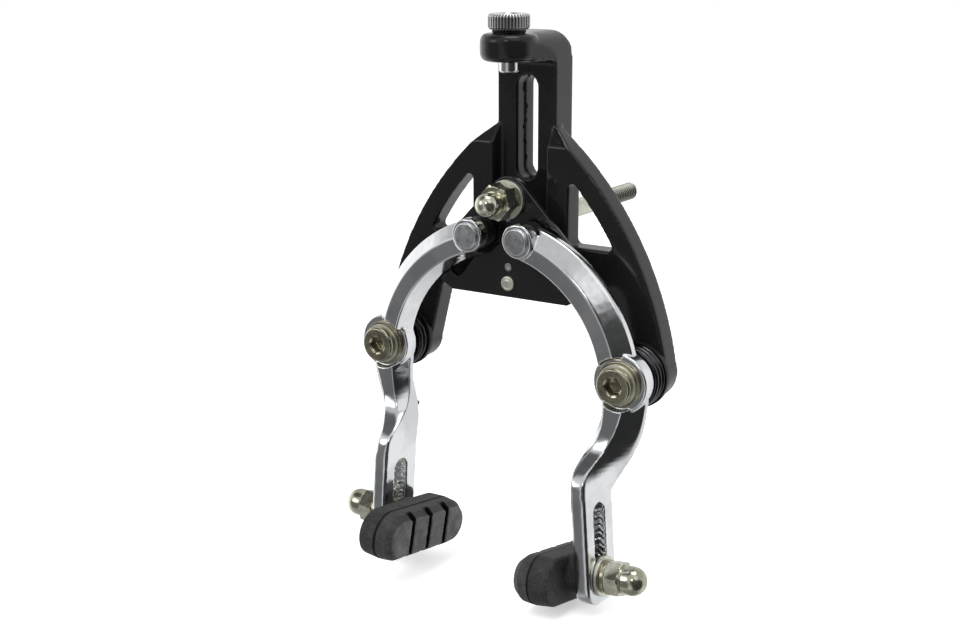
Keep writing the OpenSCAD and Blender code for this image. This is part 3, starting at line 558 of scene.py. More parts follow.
def spun(
    outline: np.ndarray, angle: np.ndarray, flats: float = 0.0, hollow: float = 0.0
) -> tuple[np.ndarray, np.ndarray, np.ndarray]:
    """Radii, angles and heights of an outline that is carried round its axis.

    The surface is the outline's radius at every angle. With flats, the radius is the smaller
    of the outline's and the hexagon's wherever the outline is wider than its flats. With
    hollow, outline points whose radius is written as negative follow that hexagon.

    Args:
        outline: Rows of radius and height.
        angle: One row of angles.
        flats: Width across flats of the outer hexagon.
        hollow: Width across flats of the socket.

    Returns:
        The three grids, of rows by angles.
    """
    sides = angle.shape[1]
    radius = np.repeat(np.abs(outline[:, :1]), sides, 1)
    if flats:
        wide = radius > flats / 2 * 0.9
        radius = np.where(wide, np.minimum(radius, hex_radius(angle, flats)), radius)
    if hollow:
        inner = outline[:, :1] < 0
        radius = np.where(inner, radius / (hollow / 2) * hex_radius(angle, hollow), radius)
    return radius, np.repeat(angle, len(outline), 0), np.repeat(outline[:, 1:2], sides, 1)


def turned(
    outline: np.ndarray, axis: Axis, sides: int = 96, flats: float = 0.0, hollow: float = 0.0
) -> bpy.types.Mesh:
    """Solid of revolution, which may be limited by a hexagon or hold a hexagonal socket.

    Args:
        outline: Rows of radius and height, first and last on the axis or joined into a ring.
        axis: Where the piece stands.
        sides: Number of columns round the axis.
        flats: Width across flats of the outer hexagon.
        hollow: Width across flats of the socket.

    Returns:
        The closed mesh.
    """
    angle = all_round(sides)[None, :]
    grid = axis.put(*spun(outline, angle, flats, hollow))
    if np.allclose(outline[0], outline[-1]):
        return net(grid[:-1], wrap_rows=True)
    return net(grid)


def ring_outline(inner: float, outer: float, low: float, high: float, edge: float) -> np.ndarray:
    """Closed outline of a washer with rounded edges, starting and ending inside its bore."""
    seam = (inner, (low + high) / 2)
    return rounded([seam, (inner, low), (outer, low), (outer, high), (inner, high), seam], edge)


def flanged(
    bore: float, sleeve_r: float, radius: float, depth: float, flange: float, edge: float
) -> np.ndarray:
    """Closed outline of a sleeve with a flange in front, starting and ending inside its bore."""
    return rounded([
        (bore, depth / 2), (bore, 0), (sleeve_r, 0), (sleeve_r, depth - flange),
        (radius, depth - flange), (radius, depth), (bore, depth), (bore, depth / 2),
    ], edge)


def tube(path: np.ndarray, radius: float, sides: int = 16) -> bpy.types.Mesh:
    """Round wire along a path.

    Each ring is the path's point plus the radius times a circle in the plane square to the
    path, whose first direction is the path's direction crossed with +Y. Two small rings and a
    point close each end.
    """
    way = np.gradient(path, axis=0)
    way /= np.linalg.norm(way, axis=1, keepdims=True)
    first = np.cross(way, (0.0, 1.0, 0.0))
    first /= np.linalg.norm(first, axis=1, keepdims=True)
    second = np.cross(way, first)
    angle = all_round(sides)
    circle = np.cos(angle)[None, :, None] * first[:, None]
    circle = circle + np.sin(angle)[None, :, None] * second[:, None]
    rings = path[:, None] + radius * circle
    caps = []
    for end, sign in ((0, -1), (-1, 1)):
        for share, out in ((0.85, 0.35), (0.5, 0.6), (0.0, 0.7)):
            caps.append(path[end] + radius * share * circle[end] + sign * radius * out * way[end])
    return net(np.concatenate([np.array(caps[:3])[::-1], rings, np.array(caps[3:])]))


def smooth_step(value: np.ndarray, low: float, high: float) -> np.ndarray:
    """0 below low, 1 above high and a smooth rise between."""
    t = np.clip((value - low) / (high - low), 0, 1)
    return t * t * (3 - 2 * t)


def all_round(sides: int) -> np.ndarray:
    """Even angles over a full turn."""
    return np.linspace(0, FULL_TURN, sides, endpoint=False)


def mark(mesh: bpy.types.Mesh, name: str, values: np.ndarray) -> None:
    """Keeps one number for each of a mesh's points under that name."""
    layer = mesh.attributes.new(name, "FLOAT", "POINT")
    layer.data.foreach_set("value", values.astype(np.float32))


def points_of(mesh: bpy.types.Mesh) -> np.ndarray:
    """All of a mesh's points as an array."""
    co = np.empty(len(mesh.vertices) * 3)
    mesh.vertices.foreach_get("co", co)
    return co.reshape(-1, 3)


def forward(low: np.ndarray, high: np.ndarray, turn: float = 0.0) -> tuple[Axis, float, float]:
    """Forward axis of a round piece in this box, with the piece's radius and depth."""
    axis = Axis(((low[0] + high[0]) / 2, high[1], (low[2] + high[2]) / 2), (0, -1, 0), turn)
    return axis, (high[0] - low[0]) / 2, high[1] - low[1]


@dataclass
class Casting:
    """The bracket casting and the mounting bolt."""

    shop: Shop
    voxel: float = 0.5 * MM
    passes: int = 7
    bolt_r: float = 3.0 * MM
    pitch: float = 1.25 * MM
    thread_depth: float = 0.6 * MM
    bare: float = 30.0 * MM
    socket: float = 5.0 * MM
    slot_low: float = 14.3 * MM
    slot_high: float = 46.6 * MM
    slot_half: float = 3.45 * MM
    flash_y: float = -5.0 * MM

    def build(self) -> None:
        """Makes the casting, the flash in its slot and the bolt."""
        self.body()
        self.flash()
        self.bolt()

    def body(self) -> None:
        """The casting with its edges rounded as a die leaves them."""
        mesh = softened(self.shop.merged_copy("frame_casting"), self.voxel, self.passes)
        self.shop.adopt(mesh, "bracket_casting", Slot.CASTING, "bracket", "frame_casting")

    def flash(self) -> None:
        """The ragged line of flash inside the post's long slot.

        It is a thin ribbon round the slot's outline at half depth: each point is the outline's
        point moved inwards by a sum of sines of its place along the outline.
        """
        half = self.slot_half
        low_z, high_z = self.slot_low + half, self.slot_high - half
        turn = np.linspace(0, math.pi, 24)
        upper = np.stack([half * np.cos(turn), high_z + half * np.sin(turn)], 1)
        lower = np.stack([-half * np.cos(turn), low_z - half * np.sin(turn)], 1)
        rise = np.linspace(0, 1, 60)[1:-1, None]
        loop = np.vstack([
            upper,
            upper[-1] + (lower[0] - upper[-1]) * rise,
            lower,
            lower[-1] + (upper[0] - lower[-1]) * rise,
        ])
        along = all_round(len(loop))
        ragged = 0.28 + 0.16 * np.sin(13 * along + 1) + 0.12 * np.sin(31 * along)
        ragged += 0.08 * np.sin(57 * along + 2)
        spine = np.stack([np.zeros(len(loop)), np.clip(loop[:, 1], low_z, high_z)], 1)
        inward = spine - loop
        inward /= np.linalg.norm(inward, axis=1, keepdims=True)
        drift = (0.35 * np.sin(5 * along) + 0.2 * np.sin(17 * along + 1)) * MM
        section = [(-0.3, -0.25), (0.3, -0.08), (1.0, 0.0), (0.3, 0.1), (-0.3, 0.3)]
        rows = [
            np.stack([
                loop[:, 0] + inward[:, 0] * ragged * reach * MM,
                self.flash_y + drift + side * MM,
                loop[:, 1] + inward[:, 1] * ragged * reach * MM,
            ], 1)
            for reach, side in section
        ]
        mesh = net(np.array(rows), wrap_rows=True)
        self.shop.adopt(mesh, "slot_flash", Slot.CASTING, "bracket")

    def bolt(self) -> None:
        """The threaded mounting bolt.

        The thread's radius is the bolt's less its depth times a triangle wave of height over
        pitch less angle over a full turn, faded in after the bare shank.
        """
        low, high = self.shop.box("mounting_bolt")
        length = high[1]
        head_r = (high[0] - low[0]) / 2
        seat, floor, tip, bevel = -3.5 * MM, -7.2 * MM, 0.8 * MM, 0.9 * MM
        rows = int(length / self.pitch * 12)
        height = np.linspace(0, length - tip, rows)[:, None]
        angle = all_round(60)[None, :]
        phase = np.mod(height / self.pitch - angle / FULL_TURN, 1.0)
        wave = np.abs(phase - 0.5) * 2
        fade = smooth_step(height, self.bare, self.bare + self.pitch)
        radius = self.bolt_r - self.thread_depth * fade * np.clip(1.2 * wave - 0.1, 0, 1)
        angle = np.repeat(angle, rows, 0)
        height = np.repeat(height, angle.shape[1], 1)
        key_r = self.socket / 2
        head = rounded([
            (0, floor), (-key_r, floor), (-key_r, low[1]), (head_r, low[1]), (head_r, seat),
            (self.bolt_r, seat), (self.bolt_r, 0),
        ], 0.3 * MM)
        end = rounded([
            (self.bolt_r - self.thread_depth, length - tip), (self.bolt_r - bevel, length),
            (0, length),
        ], 0.2 * MM)
        axis = Axis((0, 0, 0), (0, 1, 0))
        mesh = net(np.concatenate([
            axis.put(*spun(head, angle[:1], hollow=self.socket)),
            axis.put(radius, angle, height),
            axis.put(*spun(end, angle[:1])),
        ]))
        # Painted shade in the thread's roots, through the cavity mark
        co = points_of(mesh)
        deep = self.bolt_r - np.hypot(co[:, 0], co[:, 2])
        deep = smooth_step(deep, 0.05 * MM, 0.6 * self.thread_depth)
        mark(mesh, "cavity", deep * (co[:, 1] > self.bare) * (co[:, 1] < length - tip))
        name, node = "mounting_bolt_threaded", "mounting_bolt"
        self.shop.adopt(mesh, name, Slot.ZINC, "bracket", node, look=SATIN.name)


@dataclass
class Adjuster:
    """The knurled cable adjuster and the rubber ring under its head."""

    shop: Shop
    ridges: int = 40
    ridge_depth: float = 0.45 * MM
    housing_r: float = 2.6 * MM
    cable_r: float = 1.1 * MM
    barrel_r: float = 3.0 * MM

    def build(self) -> None:
        """Makes the adjuster and its ring."""
        low, high = self.shop.box("barrel_adjuster")
        ring_low, ring_high = self.shop.box("adjuster_ring")
        centre_y = (low[1] + high[1]) / 2
        head_r = (high[0] - low[0]) / 2
        head_low = ring_high[2] + 0.06 * MM
        bevel = 0.7 * MM
        seam = (self.cable_r, low[2] + 8 * MM)
        outline = rounded([
            seam, (self.cable_r, low[2]), (self.barrel_r - 0.4 * MM, low[2]),
            (self.barrel_r, low[2] + 0.5 * MM), (self.barrel_r, head_low), (head_r - bevel, head_low),
            (head_r, head_low + bevel), (head_r, high[2] - bevel), (head_r - bevel, high[2]),
            (self.housing_r + 0.5 * MM, high[2]), (self.housing_r, high[2] - 0.6 * MM),
            (self.housing_r, high[2] - 6.9 * MM), (self.cable_r, high[2] - 7 * MM), seam,
        ], 0.35 * MM)
        sides = self.ridges * 8
        angle = all_round(sides)[None, :]
        radius = np.repeat(outline[:, :1], sides, 1)
        rim = smooth_step(radius, head_r - bevel, head_r - bevel * 0.3)
        wave = np.clip(0.5 - 0.9 * np.cos(self.ridges * angle), 0, 1)
        radius = radius - self.ridge_depth * rim * wave
        height = np.repeat(outline[:, 1:], sides, 1)
        axis = Axis((0, centre_y, 0), (0, 0, 1))
        grid = axis.put(radius, np.repeat(angle, len(outline), 0), height)
        mesh = net(grid[:-1], wrap_rows=True)
        # Painted shade in the knurl's grooves on the head's flank, through the cavity mark
        co = points_of(mesh)
        deep = head_r - np.hypot(co[:, 0], co[:, 1] - centre_y)
        flank = (co[:, 2] > head_low + bevel * 0.6) & (co[:, 2] < high[2] - bevel * 0.6)
        groove = smooth_step(deep, 0.15 * MM, self.ridge_depth) * (deep < 1 * MM)
        mark(mesh, "cavity", 0.8 * flank * groove)
        self.shop.adopt(mesh, "cable_adjuster", Slot.BRIGHT, "adjuster", "barrel_adjuster")
        self.ring(ring_low, ring_high, centre_y)

    def ring(self, low: np.ndarray, high: np.ndarray, centre_y: float) -> None:
        """The rubber ring: a circle carried round the cable's line."""
        section = (high[2] - low[2]) / 2
        around = all_round(20)
        radius = (high[0] - low[0]) / 2 - section + section * np.cos(around)
        outline = np.stack([radius, (low[2] + high[2]) / 2 + section * np.sin(around)], 1)
        outline = np.vstack([outline, outline[:1]])
        mesh = turned(outline, Axis((0, centre_y, 0), (0, 0, 1)))
        self.shop.adopt(mesh, "adjuster_rubber_ring", Slot.RING, "adjuster_carrier", "adjuster_ring")


def dome_nut(hex_h: float, total: float, flats: float, dome_r: float, bore: float) -> np.ndarray:
    """Outline of a dome nut, open at its bore, from its seat up to the top of the dome."""
    corner = flats / 2 / math.cos(math.pi / 6)
    face = flats / 2 - 0.05 * MM
    bevel = 0.32 * MM
    neck = dome_r - 0.35 * MM
    corners = [
        (0, hex_h), (bore, hex_h), (bore, 0), (face, 0), (corner, bevel), (corner, hex_h - bevel),
        (face, hex_h), (neck, hex_h), (neck, hex_h + 0.3 * MM), (dome_r, hex_h + 0.7 * MM),
        (dome_r, total - dome_r),
    ]
    turn = np.linspace(0, math.pi / 2, 22)[1:]
    dome = np.stack([dome_r * np.cos(turn), total - dome_r + dome_r * np.sin(turn)], 1)
    return np.vstack([rounded(corners, 0.1 * MM, 2), dome])


@dataclass
class LiftPlate:
    """The sliding plate with its guide, rivet and cable anchor."""

    shop: Shop
    flats: float = 10 * MM
    hex_h: float = 6.9 * MM
    dome_r: float = 3.75 * MM
    bore: float = 3.05 * MM
    nut_turn: float = math.radians(-11.5)
    edge: float = 0.45 * MM

    def build(self) -> None:
        """Makes the plate and all that it carries."""
        self.plate()
        self.rivet()
        self.spigot()
        self.washer()
        self.nut()
        self.shop.dress("plate_guide", Slot.PLATE)
        self.shop.dress("anchor_bolt", Slot.ZINC)

    def plate(self) -> None:
        """The pressed plate with softly rolled edges."""
        mesh = finished(self.shop.merged_copy("lift_plate"), [
            ("DECIMATE", {"decimate_type": "DISSOLVE", "angle_limit": math.radians(1)}),
            ("BEVEL", {"width": self.edge, "segments": 3, "limit_method": "ANGLE",
                       "angle_limit": math.radians(50), "harden_normals": False}),
            ("TRIANGULATE", {}),
        ])
        piece = self.shop.adopt(mesh, "lift_plate_pressing", Slot.PLATE, "lift", "lift_plate")
        piece.data.set_sharp_from_angle(angle=math.radians(35))

    def rivet(self) -> None:
        """The rivet's head with its rolled rim, and its shank."""
        axis, head_r, depth = forward(*self.shop.box("plate_rivet"))
        shank_r, head_h, rim, dip = 1.5 * MM, 0.9 * MM, 0.35 * MM, 0.22 * MM
        outline = rounded([
            (0, 0), (shank_r, 0), (shank_r, depth - head_h), (head_r, depth - head_h),
            (head_r, depth - rim), (head_r * 0.72, depth - 0.05 * MM), (head_r * 0.62, depth - dip),
            (head_r * 0.4, depth), (0, depth),
        ], 0.25 * MM)
        mesh = turned(outline, axis, 64)
        self.shop.adopt(mesh, "plate_rivet_head", Slot.TURNED, "lift", "plate_rivet", look=SATIN.name)

    def spigot(self) -> None:
        """The worn end of the guide's spigot, with the dimple in its middle."""
        co = points_of(self.shop.nodes["plate_guide"].data)
        end = co[co[:, 1] < co[:, 1].min() + 0.01 * MM]
        low, high = end.min(0), end.max(0)
        radius = (high[0] - low[0]) / 2 + 0.02 * MM
        depth, proud, dimple_r = 0.5 * MM, 0.12 * MM, 0.5 * MM
        outline = rounded([
            (0, 0), (radius, 0), (radius, depth + proud), (dimple_r, depth + proud),
            (dimple_r * 0.8, depth * 0.6), (0, depth * 0.5),
        ], 0.12 * MM)
        axis = Axis(((low[0] + high[0]) / 2, low[1] + depth, (low[2] + high[2]) / 2), (0, -1, 0))
        mesh = turned(outline, axis, 48)
        look = FINISHES[Slot.TURNED].name
        self.shop.adopt(mesh, "guide_spigot_end", Slot.PLATE, "lift", look=look)

    def washer(self) -> None:
        """The anchor's washer."""
        axis, radius, depth = forward(*self.shop.box("anchor_washer"))
        mesh = turned(ring_outline(self.bore, radius, 0, depth, 0.3 * MM), axis)
        name, node = "anchor_washer_flat", "anchor_washer"
        self.shop.adopt(mesh, name, Slot.ZINC, "lift", node, look=SATIN.name)

    def nut(self) -> None:
        """The anchor's tall dome nut."""
        axis, _, total = forward(*self.shop.box("anchor_nut"), self.nut_turn)
        outline = dome_nut(self.hex_h, total, self.flats, self.dome_r, self.bore)
        mesh = turned(outline, axis, 144, flats=self.flats)
        piece = self.shop.adopt(mesh, "anchor_dome_nut", Slot.ZINC, "lift", "anchor_nut")
        piece.data.set_sharp_from_angle(angle=math.radians(28))


@dataclass
class SidePart:
    """A sub-assembly of one half of the brake. Its nodes, bodies and pieces carry the side's word."""

    shop: Shop
    side: Side
    lean: float = math.radians(4)

    @property
    def outward(self) -> np.ndarray:
        """The pad stud's direction, away from the rim and square to the strap."""
        return np.array([self.side.value * math.cos(self.lean), 0, math.sin(self.lean)])

    def box(self, node: str) -> tuple[np.ndarray, np.ndarray]:
        """Lowest and highest corner of one of the side's nodes."""
        return self.shop.box(f"{self.side.word}_{node}")

    def centre(self, node: str) -> np.ndarray:
        """Middle of a node's box."""
        return np.mean(self.box(node), 0)

    def adopt(
        self, mesh: bpy.types.Mesh, name: str, slot: Slot, body: str, node: str, look: str = ""
    ) -> bpy.types.Object:
        """Makes a piece of this side.

        Args:
            mesh: The mesh, placed in the model's frame.
            name: The piece's name without the side's word.
            slot: The record's material slot.
            body: The bracket, or one of the side's bodies without its word.
            node: The node that the piece stands for, without the side's word.
            look: Name of a finish that differs from the slot's usual one.

        Returns:
            The piece's object.
        """
        word = self.side.word
        body = body if body == "bracket" else f"{word}_{body}"
        return self.shop.adopt(mesh, f"{word}_{name}", slot, body, f"{word}_{node}", look=look)


@dataclass
class Arm(SidePart):
    """One brake arm with its end pin, roller, pivot stack and spring."""

    voxel: float = 0.32 * MM
    passes: int = 7
    boss_r: float = 9.0 * MM
    strap_drop: float = 33.5 * MM
    overlap: float = 0.8 * MM
    loft_rows: int = 60
    edge_passes: int = 45
    ragged: float = 0.10 * MM
    wire_r: float = 0.85 * MM
    spring_r: float = 8.9 * MM
    turns: float = 2.35
    tail: tuple = (-6.2 * MM, -20 * MM)
    bend: tuple = (-2.0 * MM, -1.3 * MM)
    bore: float = 4.05 * MM

    @property
    def pivot(self) -> np.ndarray:
        """The middle of the pivot, from the bush's box."""
        return self.centre("pivot_bush")

    def front(self, node: str, turn: float = 0.0) -> tuple[Axis, float, float]:
        """Forward axis of a round node, its radius and its depth."""
        return forward(*self.box(node), turn)

    def build(self) -> None:
        """Makes the arm and all that belongs to its pivot and end."""
        self.body()
        self.pin()
        self.roller()
        self.pivot_bolt()
        self.pivot_rings()
        self.spring()
        self.cup()

    def body(self) -> None:
        """The forged arm with its edges polished round."""
        kept = self.shop.merged_copy(f"{self.side.word}_arm")
        rings = self.rings(points_of(kept))
        shank = self.shank(rings)
        kept = cut(kept, block((-0.1, -0.1, rings[-1, 0, 2]), (0.1, 0.1, rings[0, 0, 2])))
        mesh = softened(joined(kept, shank), self.voxel, self.passes)
        self.roll_edge(mesh)
        self.roughen(mesh)
        self.adopt(mesh, "arm_forging", Slot.ALLOY, "swing", "arm")

    def roll_edge(self, mesh: bpy.types.Mesh) -> None:
        """Rolls the strap's front edge round.

        In each pass every point of this edge moves half of the way to its neighbours' mean;
        the move fades out towards the strap's middle and above the strap.
        """
        co = points_of(mesh)
        pairs = np.empty(len(mesh.edges) * 2, np.int32)
        mesh.edges.foreach_get("vertices", pairs)
        first, second = pairs.reshape(-1, 2).T
        drop = self.pivot[2] - co[:, 2]
        count = np.bincount(pairs, minlength=len(co))
        front = 1 - smooth_step(co[:, 1] - co[:, 1].min(), 2.5 * MM, 5.0 * MM)
        share = 0.5 * smooth_step(drop, self.strap_drop - 6 * MM, self.strap_drop) * front
        for _ in range(self.edge_passes):
            for axis in range(3):
                value = co[:, axis]
                total = np.bincount(first, value[second], len(co))
                total += np.bincount(second, value[first], len(co))
                co[:, axis] = value + share * (total / count - value)
        mesh.vertices.foreach_set("co", co.ravel())

    def roughen(self, mesh: bpy.types.Mesh) -> None:
        """Leaves the walls of the strap's slot as rough as the tool that broke through it.

        Each point moves along Y by a sum of sines of its place. The move fades out towards the
        strap's two faces and away from the slot.
        """
        co = points_of(mesh)
        across = co @ self.outward
        strap = self.pivot[2] - co[:, 2] > self.strap_drop
        near, far = across[strap].min(), across[strap].max()
        aside = np.abs(across - (near + far) / 2) / ((far - near) / 2)
        reach = np.abs(co[:, 1] - self.centre("pad_stud")[1])
        share = 1 - smooth_step(aside, 0.5, 0.9)
        share *= (1 - smooth_step(reach, 4 * MM, 5 * MM)) * strap
        x, _, z = (co / MM).T
        bent = z + 0.5 * np.sin(2.1 * x)
        wave = np.sin(3.3 * bent) + 0.7 * np.sin(5.9 * bent + 1.3 * x + 1) + 0.4 * np.sin(1.3 * bent)
        co[:, 1] += self.ragged * share * wave
        mesh.vertices.foreach_set("co", co.ravel())

    def rings(self, co: np.ndarray) -> np.ndarray:
        """Cross-sections of the lower arm, found in the carried mesh as six points of one height.

        Args:
            co: The carried mesh's points.

        Returns:
            Array of sections, from the boss down, by six corners by 3. The corners are outer
            back, outer wall, front outer, front inner, inner wall and inner back.
        """
        drop = self.pivot[2] - co[:, 2]
        co = co[(drop > self.boss_r - 0.1 * MM) & (drop < self.strap_drop)]
        level = np.round(co[:, 2], 6)
        rings = []
        for height in sorted(set(level), reverse=True):
            ring = co[level == height]
            if len(ring) != 6:
                continue
            out = ring[:, 0] * self.side.value
            back = sorted(np.argsort(ring[:, 1])[-2:], key=lambda k: -out[k])
            rest = sorted(set(range(6)) - set(back), key=lambda k: -out[k])
            rings.append(ring[[back[0], rest[0], rest[1], rest[2], rest[3], back[1]]])
        return np.array(rings)

    def shank(self, rings: np.ndarray) -> bpy.types.Mesh:
        """The lower arm, as a smooth loft through its cross-sections.

        Between two sections each corner follows a cubic with the sections' own slopes: its
        place is the usual mix of both ends and both slopes by the cubic Hermite weights.
        """
        height = rings[:, 0, 2]
        slope = np.gradient(rings, height, axis=0)
        rows = np.linspace(height[0], height[-1], self.loft_rows)
        cell = np.searchsorted(-height, -rows, side="right") - 1
        cell = np.clip(cell, 0, len(height) - 2)
        span = (height[cell + 1] - height[cell])[:, None, None]
        t = ((rows - height[cell]) / span[:, 0, 0])[:, None, None]
        loft = (2 * t**3 - 3 * t**2 + 1) * rings[cell] + (t**3 - 2 * t**2 + t) * span * slope[cell]
        loft += (3 * t**2 - 2 * t**3) * rings[cell + 1] + (t**3 - t**2) * span * slope[cell + 1]
        lift = np.array([0, 0, self.overlap])
        loft = np.concatenate([loft[:1] + lift, loft, loft[-1:] - lift])
        ends = [np.repeat(loft[k].mean(0)[None, None], 6, 1) for k in (0, -1)]
        return net(np.concatenate([ends[0], loft, ends[1]]))

    def pin(self) -> None:
        """The end pin with its polished head."""
        axis, head_r, depth = self.front("roller_pin")
        tail_r, tail_h, pin_r, head_h = 3.2 * MM, 1.1 * MM, 2.0 * MM, 0.9 * MM
        outline = rounded([
            (0, 0), (tail_r, 0), (tail_r, tail_h), (pin_r, tail_h), (pin_r, depth - head_h),
            (head_r, depth - head_h), (head_r, depth - 0.3 * MM), (head_r - 0.3 * MM, depth),
            (0, depth),
        ], 0.25 * MM)
        self.adopt(turned(outline, axis), "end_pin", Slot.TURNED, "swing", "roller_pin")

    def roller(self) -> None:
        """The black roller between the arm and the plate."""
        axis, radius, depth = self.front("roller")
        hub_r, bore, front_h = 2.5 * MM, 2.05 * MM, 4.9 * MM
        outline = flanged(bore, hub_r, radius, depth, front_h, 0.45 * MM)
        self.adopt(turned(outline, axis), "cam_roller", Slot.ROLLER, "follower", "roller")

    def pivot_bolt(self) -> None:
        """The pivot's shoulder bolt with its hexagon socket."""
        axis, head_r, depth = self.front("pivot_bolt", math.radians(8))
        shank_r, head_h, key, socket = 4.0 * MM, 2.3 * MM, 5.2 * MM, 3.4 * MM
        outline = rounded([
            (0, 0), (shank_r, 0), (shank_r, depth - head_h), (head_r, depth - head_h),
            (head_r, depth - 0.45 * MM), (head_r - 0.5 * MM, depth), (key / 2 + 0.75 * MM, depth),
            (-key / 2 - 0.1 * MM, depth - 0.5 * MM), (-key / 2, depth - socket),
            (0, depth - socket - 0.5 * MM),
        ], 0.25 * MM)
        mesh = turned(outline, axis, 120, hollow=key)
        piece = self.adopt(mesh, "pivot_screw", Slot.AGED, "bracket", "pivot_bolt")
        piece.data.set_sharp_from_angle(angle=math.radians(35))

    def pivot_rings(self) -> None:
        """The pivot's washer and flanged bush."""
        axis, radius, depth = self.front("pivot_washer")
        mesh = turned(ring_outline(self.bore, radius, 0, depth, 0.3 * MM), axis)
        self.adopt(mesh, "pivot_ring", Slot.ZINC, "bracket", "pivot_washer", SATIN.name)
        axis, radius, depth = self.front("pivot_bush")
        sleeve_r, flange = 5.05 * MM, 1.1 * MM
        mesh = turned(flanged(self.bore, sleeve_r, radius, depth, flange, 0.3 * MM), axis)
        self.adopt(mesh, "pivot_sleeve", Slot.AGED, "bracket", "pivot_bush")

    def spring(self) -> None:
        """The return spring: a coil round the pivot whose front end runs down behind the arm."""
        low, high = self.box("spring")
        front = low[1] + self.wire_r
        back = high[1] - self.wire_r
        tail = np.array([self.tail[0], front, self.tail[1]])
        bend = tail + np.array([self.bend[0], 0, self.bend[1]])
        start = math.atan2(tail[2], tail[0])
        start += math.acos(self.spring_r / math.hypot(tail[0], tail[2]))
        share = np.linspace(0, 1, 110)
        turn = start + FULL_TURN * self.turns * share
        x, z = self.spring_r * np.cos(turn), self.spring_r * np.sin(turn)
        coil = np.stack([x, front + (back - front) * share, z], 1)
        leg = tail + (coil[0] - tail) * np.linspace(0, 1, 12)[:-1, None]
        foot = bend + (tail - bend) * np.linspace(0, 1, 4)[:-1, None]
        path = np.vstack([foot, leg, coil])
        path[:, 0] *= self.side.value
        path += np.array([self.pivot[0], 0, self.pivot[2]])
        self.adopt(tube(path, self.wire_r), "return_spring", Slot.WIRE, "bracket", "spring")

    def cup(self) -> None:
        """The shallow cup behind the spring."""
        axis, radius, depth = self.front("spring_cup")
        wall, bore, floor = 0.45 * MM, self.bore, 1.0 * MM
        outline = rounded([
            (bore, floor / 2), (bore, 0), (radius, 0), (radius, depth), (radius - wall, depth),
            (radius - wall, floor), (bore, floor), (bore, floor / 2),
        ], 0.2 * MM)
        self.adopt(turned(outline, axis), "spring_seat", Slot.CUP, "bracket", "spring_cup")


@dataclass
class PadSet(SidePart):
    """One brake pad with its stud, washers and dome nut."""

    flats: float = 10 * MM
    hex_h: float = 4.8 * MM
    dome_r: float = 4.5 * MM
    nut_turn: float = math.radians(-17.5)
    bore: float = 3.05 * MM
    washer_r: float = 6.3 * MM
    lock_r: float = 5.2 * MM
    voxel: float = 0.22 * MM
    tread: float = 6.3 * MM
    groove_pitch: float = 9.5 * MM
    groove_w: float = 2.3 * MM
    groove_d: float = 3.0 * MM
    tilts: dict = field(default_factory=lambda: {Side.LEFT: 8.7, Side.RIGHT: 10.2})
    shifts: dict = field(default_factory=lambda: {Side.LEFT: -5.5 * MM, Side.RIGHT: 3.0 * MM})

    def thickness(self, node: str, radius: float) -> float:
        """Length of a round node along the stud, from its box and its radius."""
        low, high = self.box(node)
        return (high[0] - low[0] - 2 * radius * math.sin(self.lean)) / math.cos(self.lean)

    def build(self) -> None:
        """Makes the pad and its fixings."""
        self.pad()
        self.stud()
        self.washers()
        self.nut()

    def pad(self) -> None:
        """The moulded pad, with paler rubber on its face and shade in its lip and grooves."""
        mesh = softened(self.shop.merged_copy(f"{self.side.word}_pad"), self.voxel, 2)
        co = points_of(mesh)
        depth = -(co - self.centre("pad_stud")) @ self.outward
        face = depth.max() - depth
        fresh = smooth_step(face, 0.25 * MM, 0.9 * MM) * 0.7
        mark(mesh, "wear", 1 - fresh - 0.15 * smooth_step(face, 5 * MM, 7 * MM))
        lip = 1 - smooth_step(np.abs(face - self.tread), 0.3 * MM, 0.5 * MM)
        mark(mesh, "shade", np.maximum(lip, self.in_groove(co, face)))
        self.adopt(mesh, "brake_pad", Slot.PAD, "shoe", "pad")

    def in_groove(self, co: np.ndarray, face: np.ndarray) -> np.ndarray:
        """1 for points on a groove's floor and walls, and 0 elsewhere.

        A point's place along the pad, less the middle of the nearest groove, tells whether it
        lies in that groove.

        Args:
            co: The pad's points.
            face: Their depths below the pad's face.

        Returns:
            One number for each point.
        """
        tilt = math.radians(self.tilts[self.side])
        way = np.array([0, math.cos(tilt), -math.sin(tilt)])
        along = (co - self.centre("pad_stud")) @ way - self.shifts[self.side]
        nearest = np.clip(np.round(along / self.groove_pitch), -1, 1) * self.groove_pitch
        inside = np.abs(along - nearest) < self.groove_w / 2 + 0.45 * MM
        return (inside & (face > 0.5 * MM) & (face < self.groove_d + 0.5 * MM)).astype(float)

    def stud(self) -> None:
        """The stud, plain: it shows only inside the strap's slot."""
        self.shop.dress(f"{self.side.word}_pad_stud", Slot.ZINC)

    def washers(self) -> None:
        """The flat washer and the split lock washer."""
        for node, name, radius, slot, look in (
            ("pad_washer", "flat_washer", self.washer_r, Slot.ZINC, SATIN.name),
            ("lock_washer", "spring_washer", self.lock_r, Slot.AGED, ""),
        ):
            half = self.thickness(node, radius) / 2
            outline = ring_outline(self.bore, radius, -half, half, 0.3 * MM)
            mesh = turned(outline, Axis(tuple(self.centre(node)), tuple(self.outward)))
            self.adopt(mesh, name, slot, "clamp", node, look)

    def nut(self) -> None:
        """The pad's dome nut."""
        lock = self.thickness("lock_washer", self.lock_r) / 2
        seat = self.centre("lock_washer") + self.outward * lock
        low, high = self.box("pad_nut")
        tip = high[0] if self.side is Side.RIGHT else -low[0]
        total = (tip - self.dome_r - abs(seat[0])) / math.cos(self.lean) + self.dome_r
        outline = dome_nut(self.hex_h, total, self.flats, self.dome_r, self.bore)
        axis = Axis(tuple(seat), tuple(self.outward), self.side.value * self.nut_turn)
        mesh = turned(outline, axis, 144, flats=self.flats)
        piece = self.adopt(mesh, "dome_nut", Slot.ZINC, "clamp", "pad_nut")
        piece.data.set_sharp_from_angle(angle=math.radians(28))


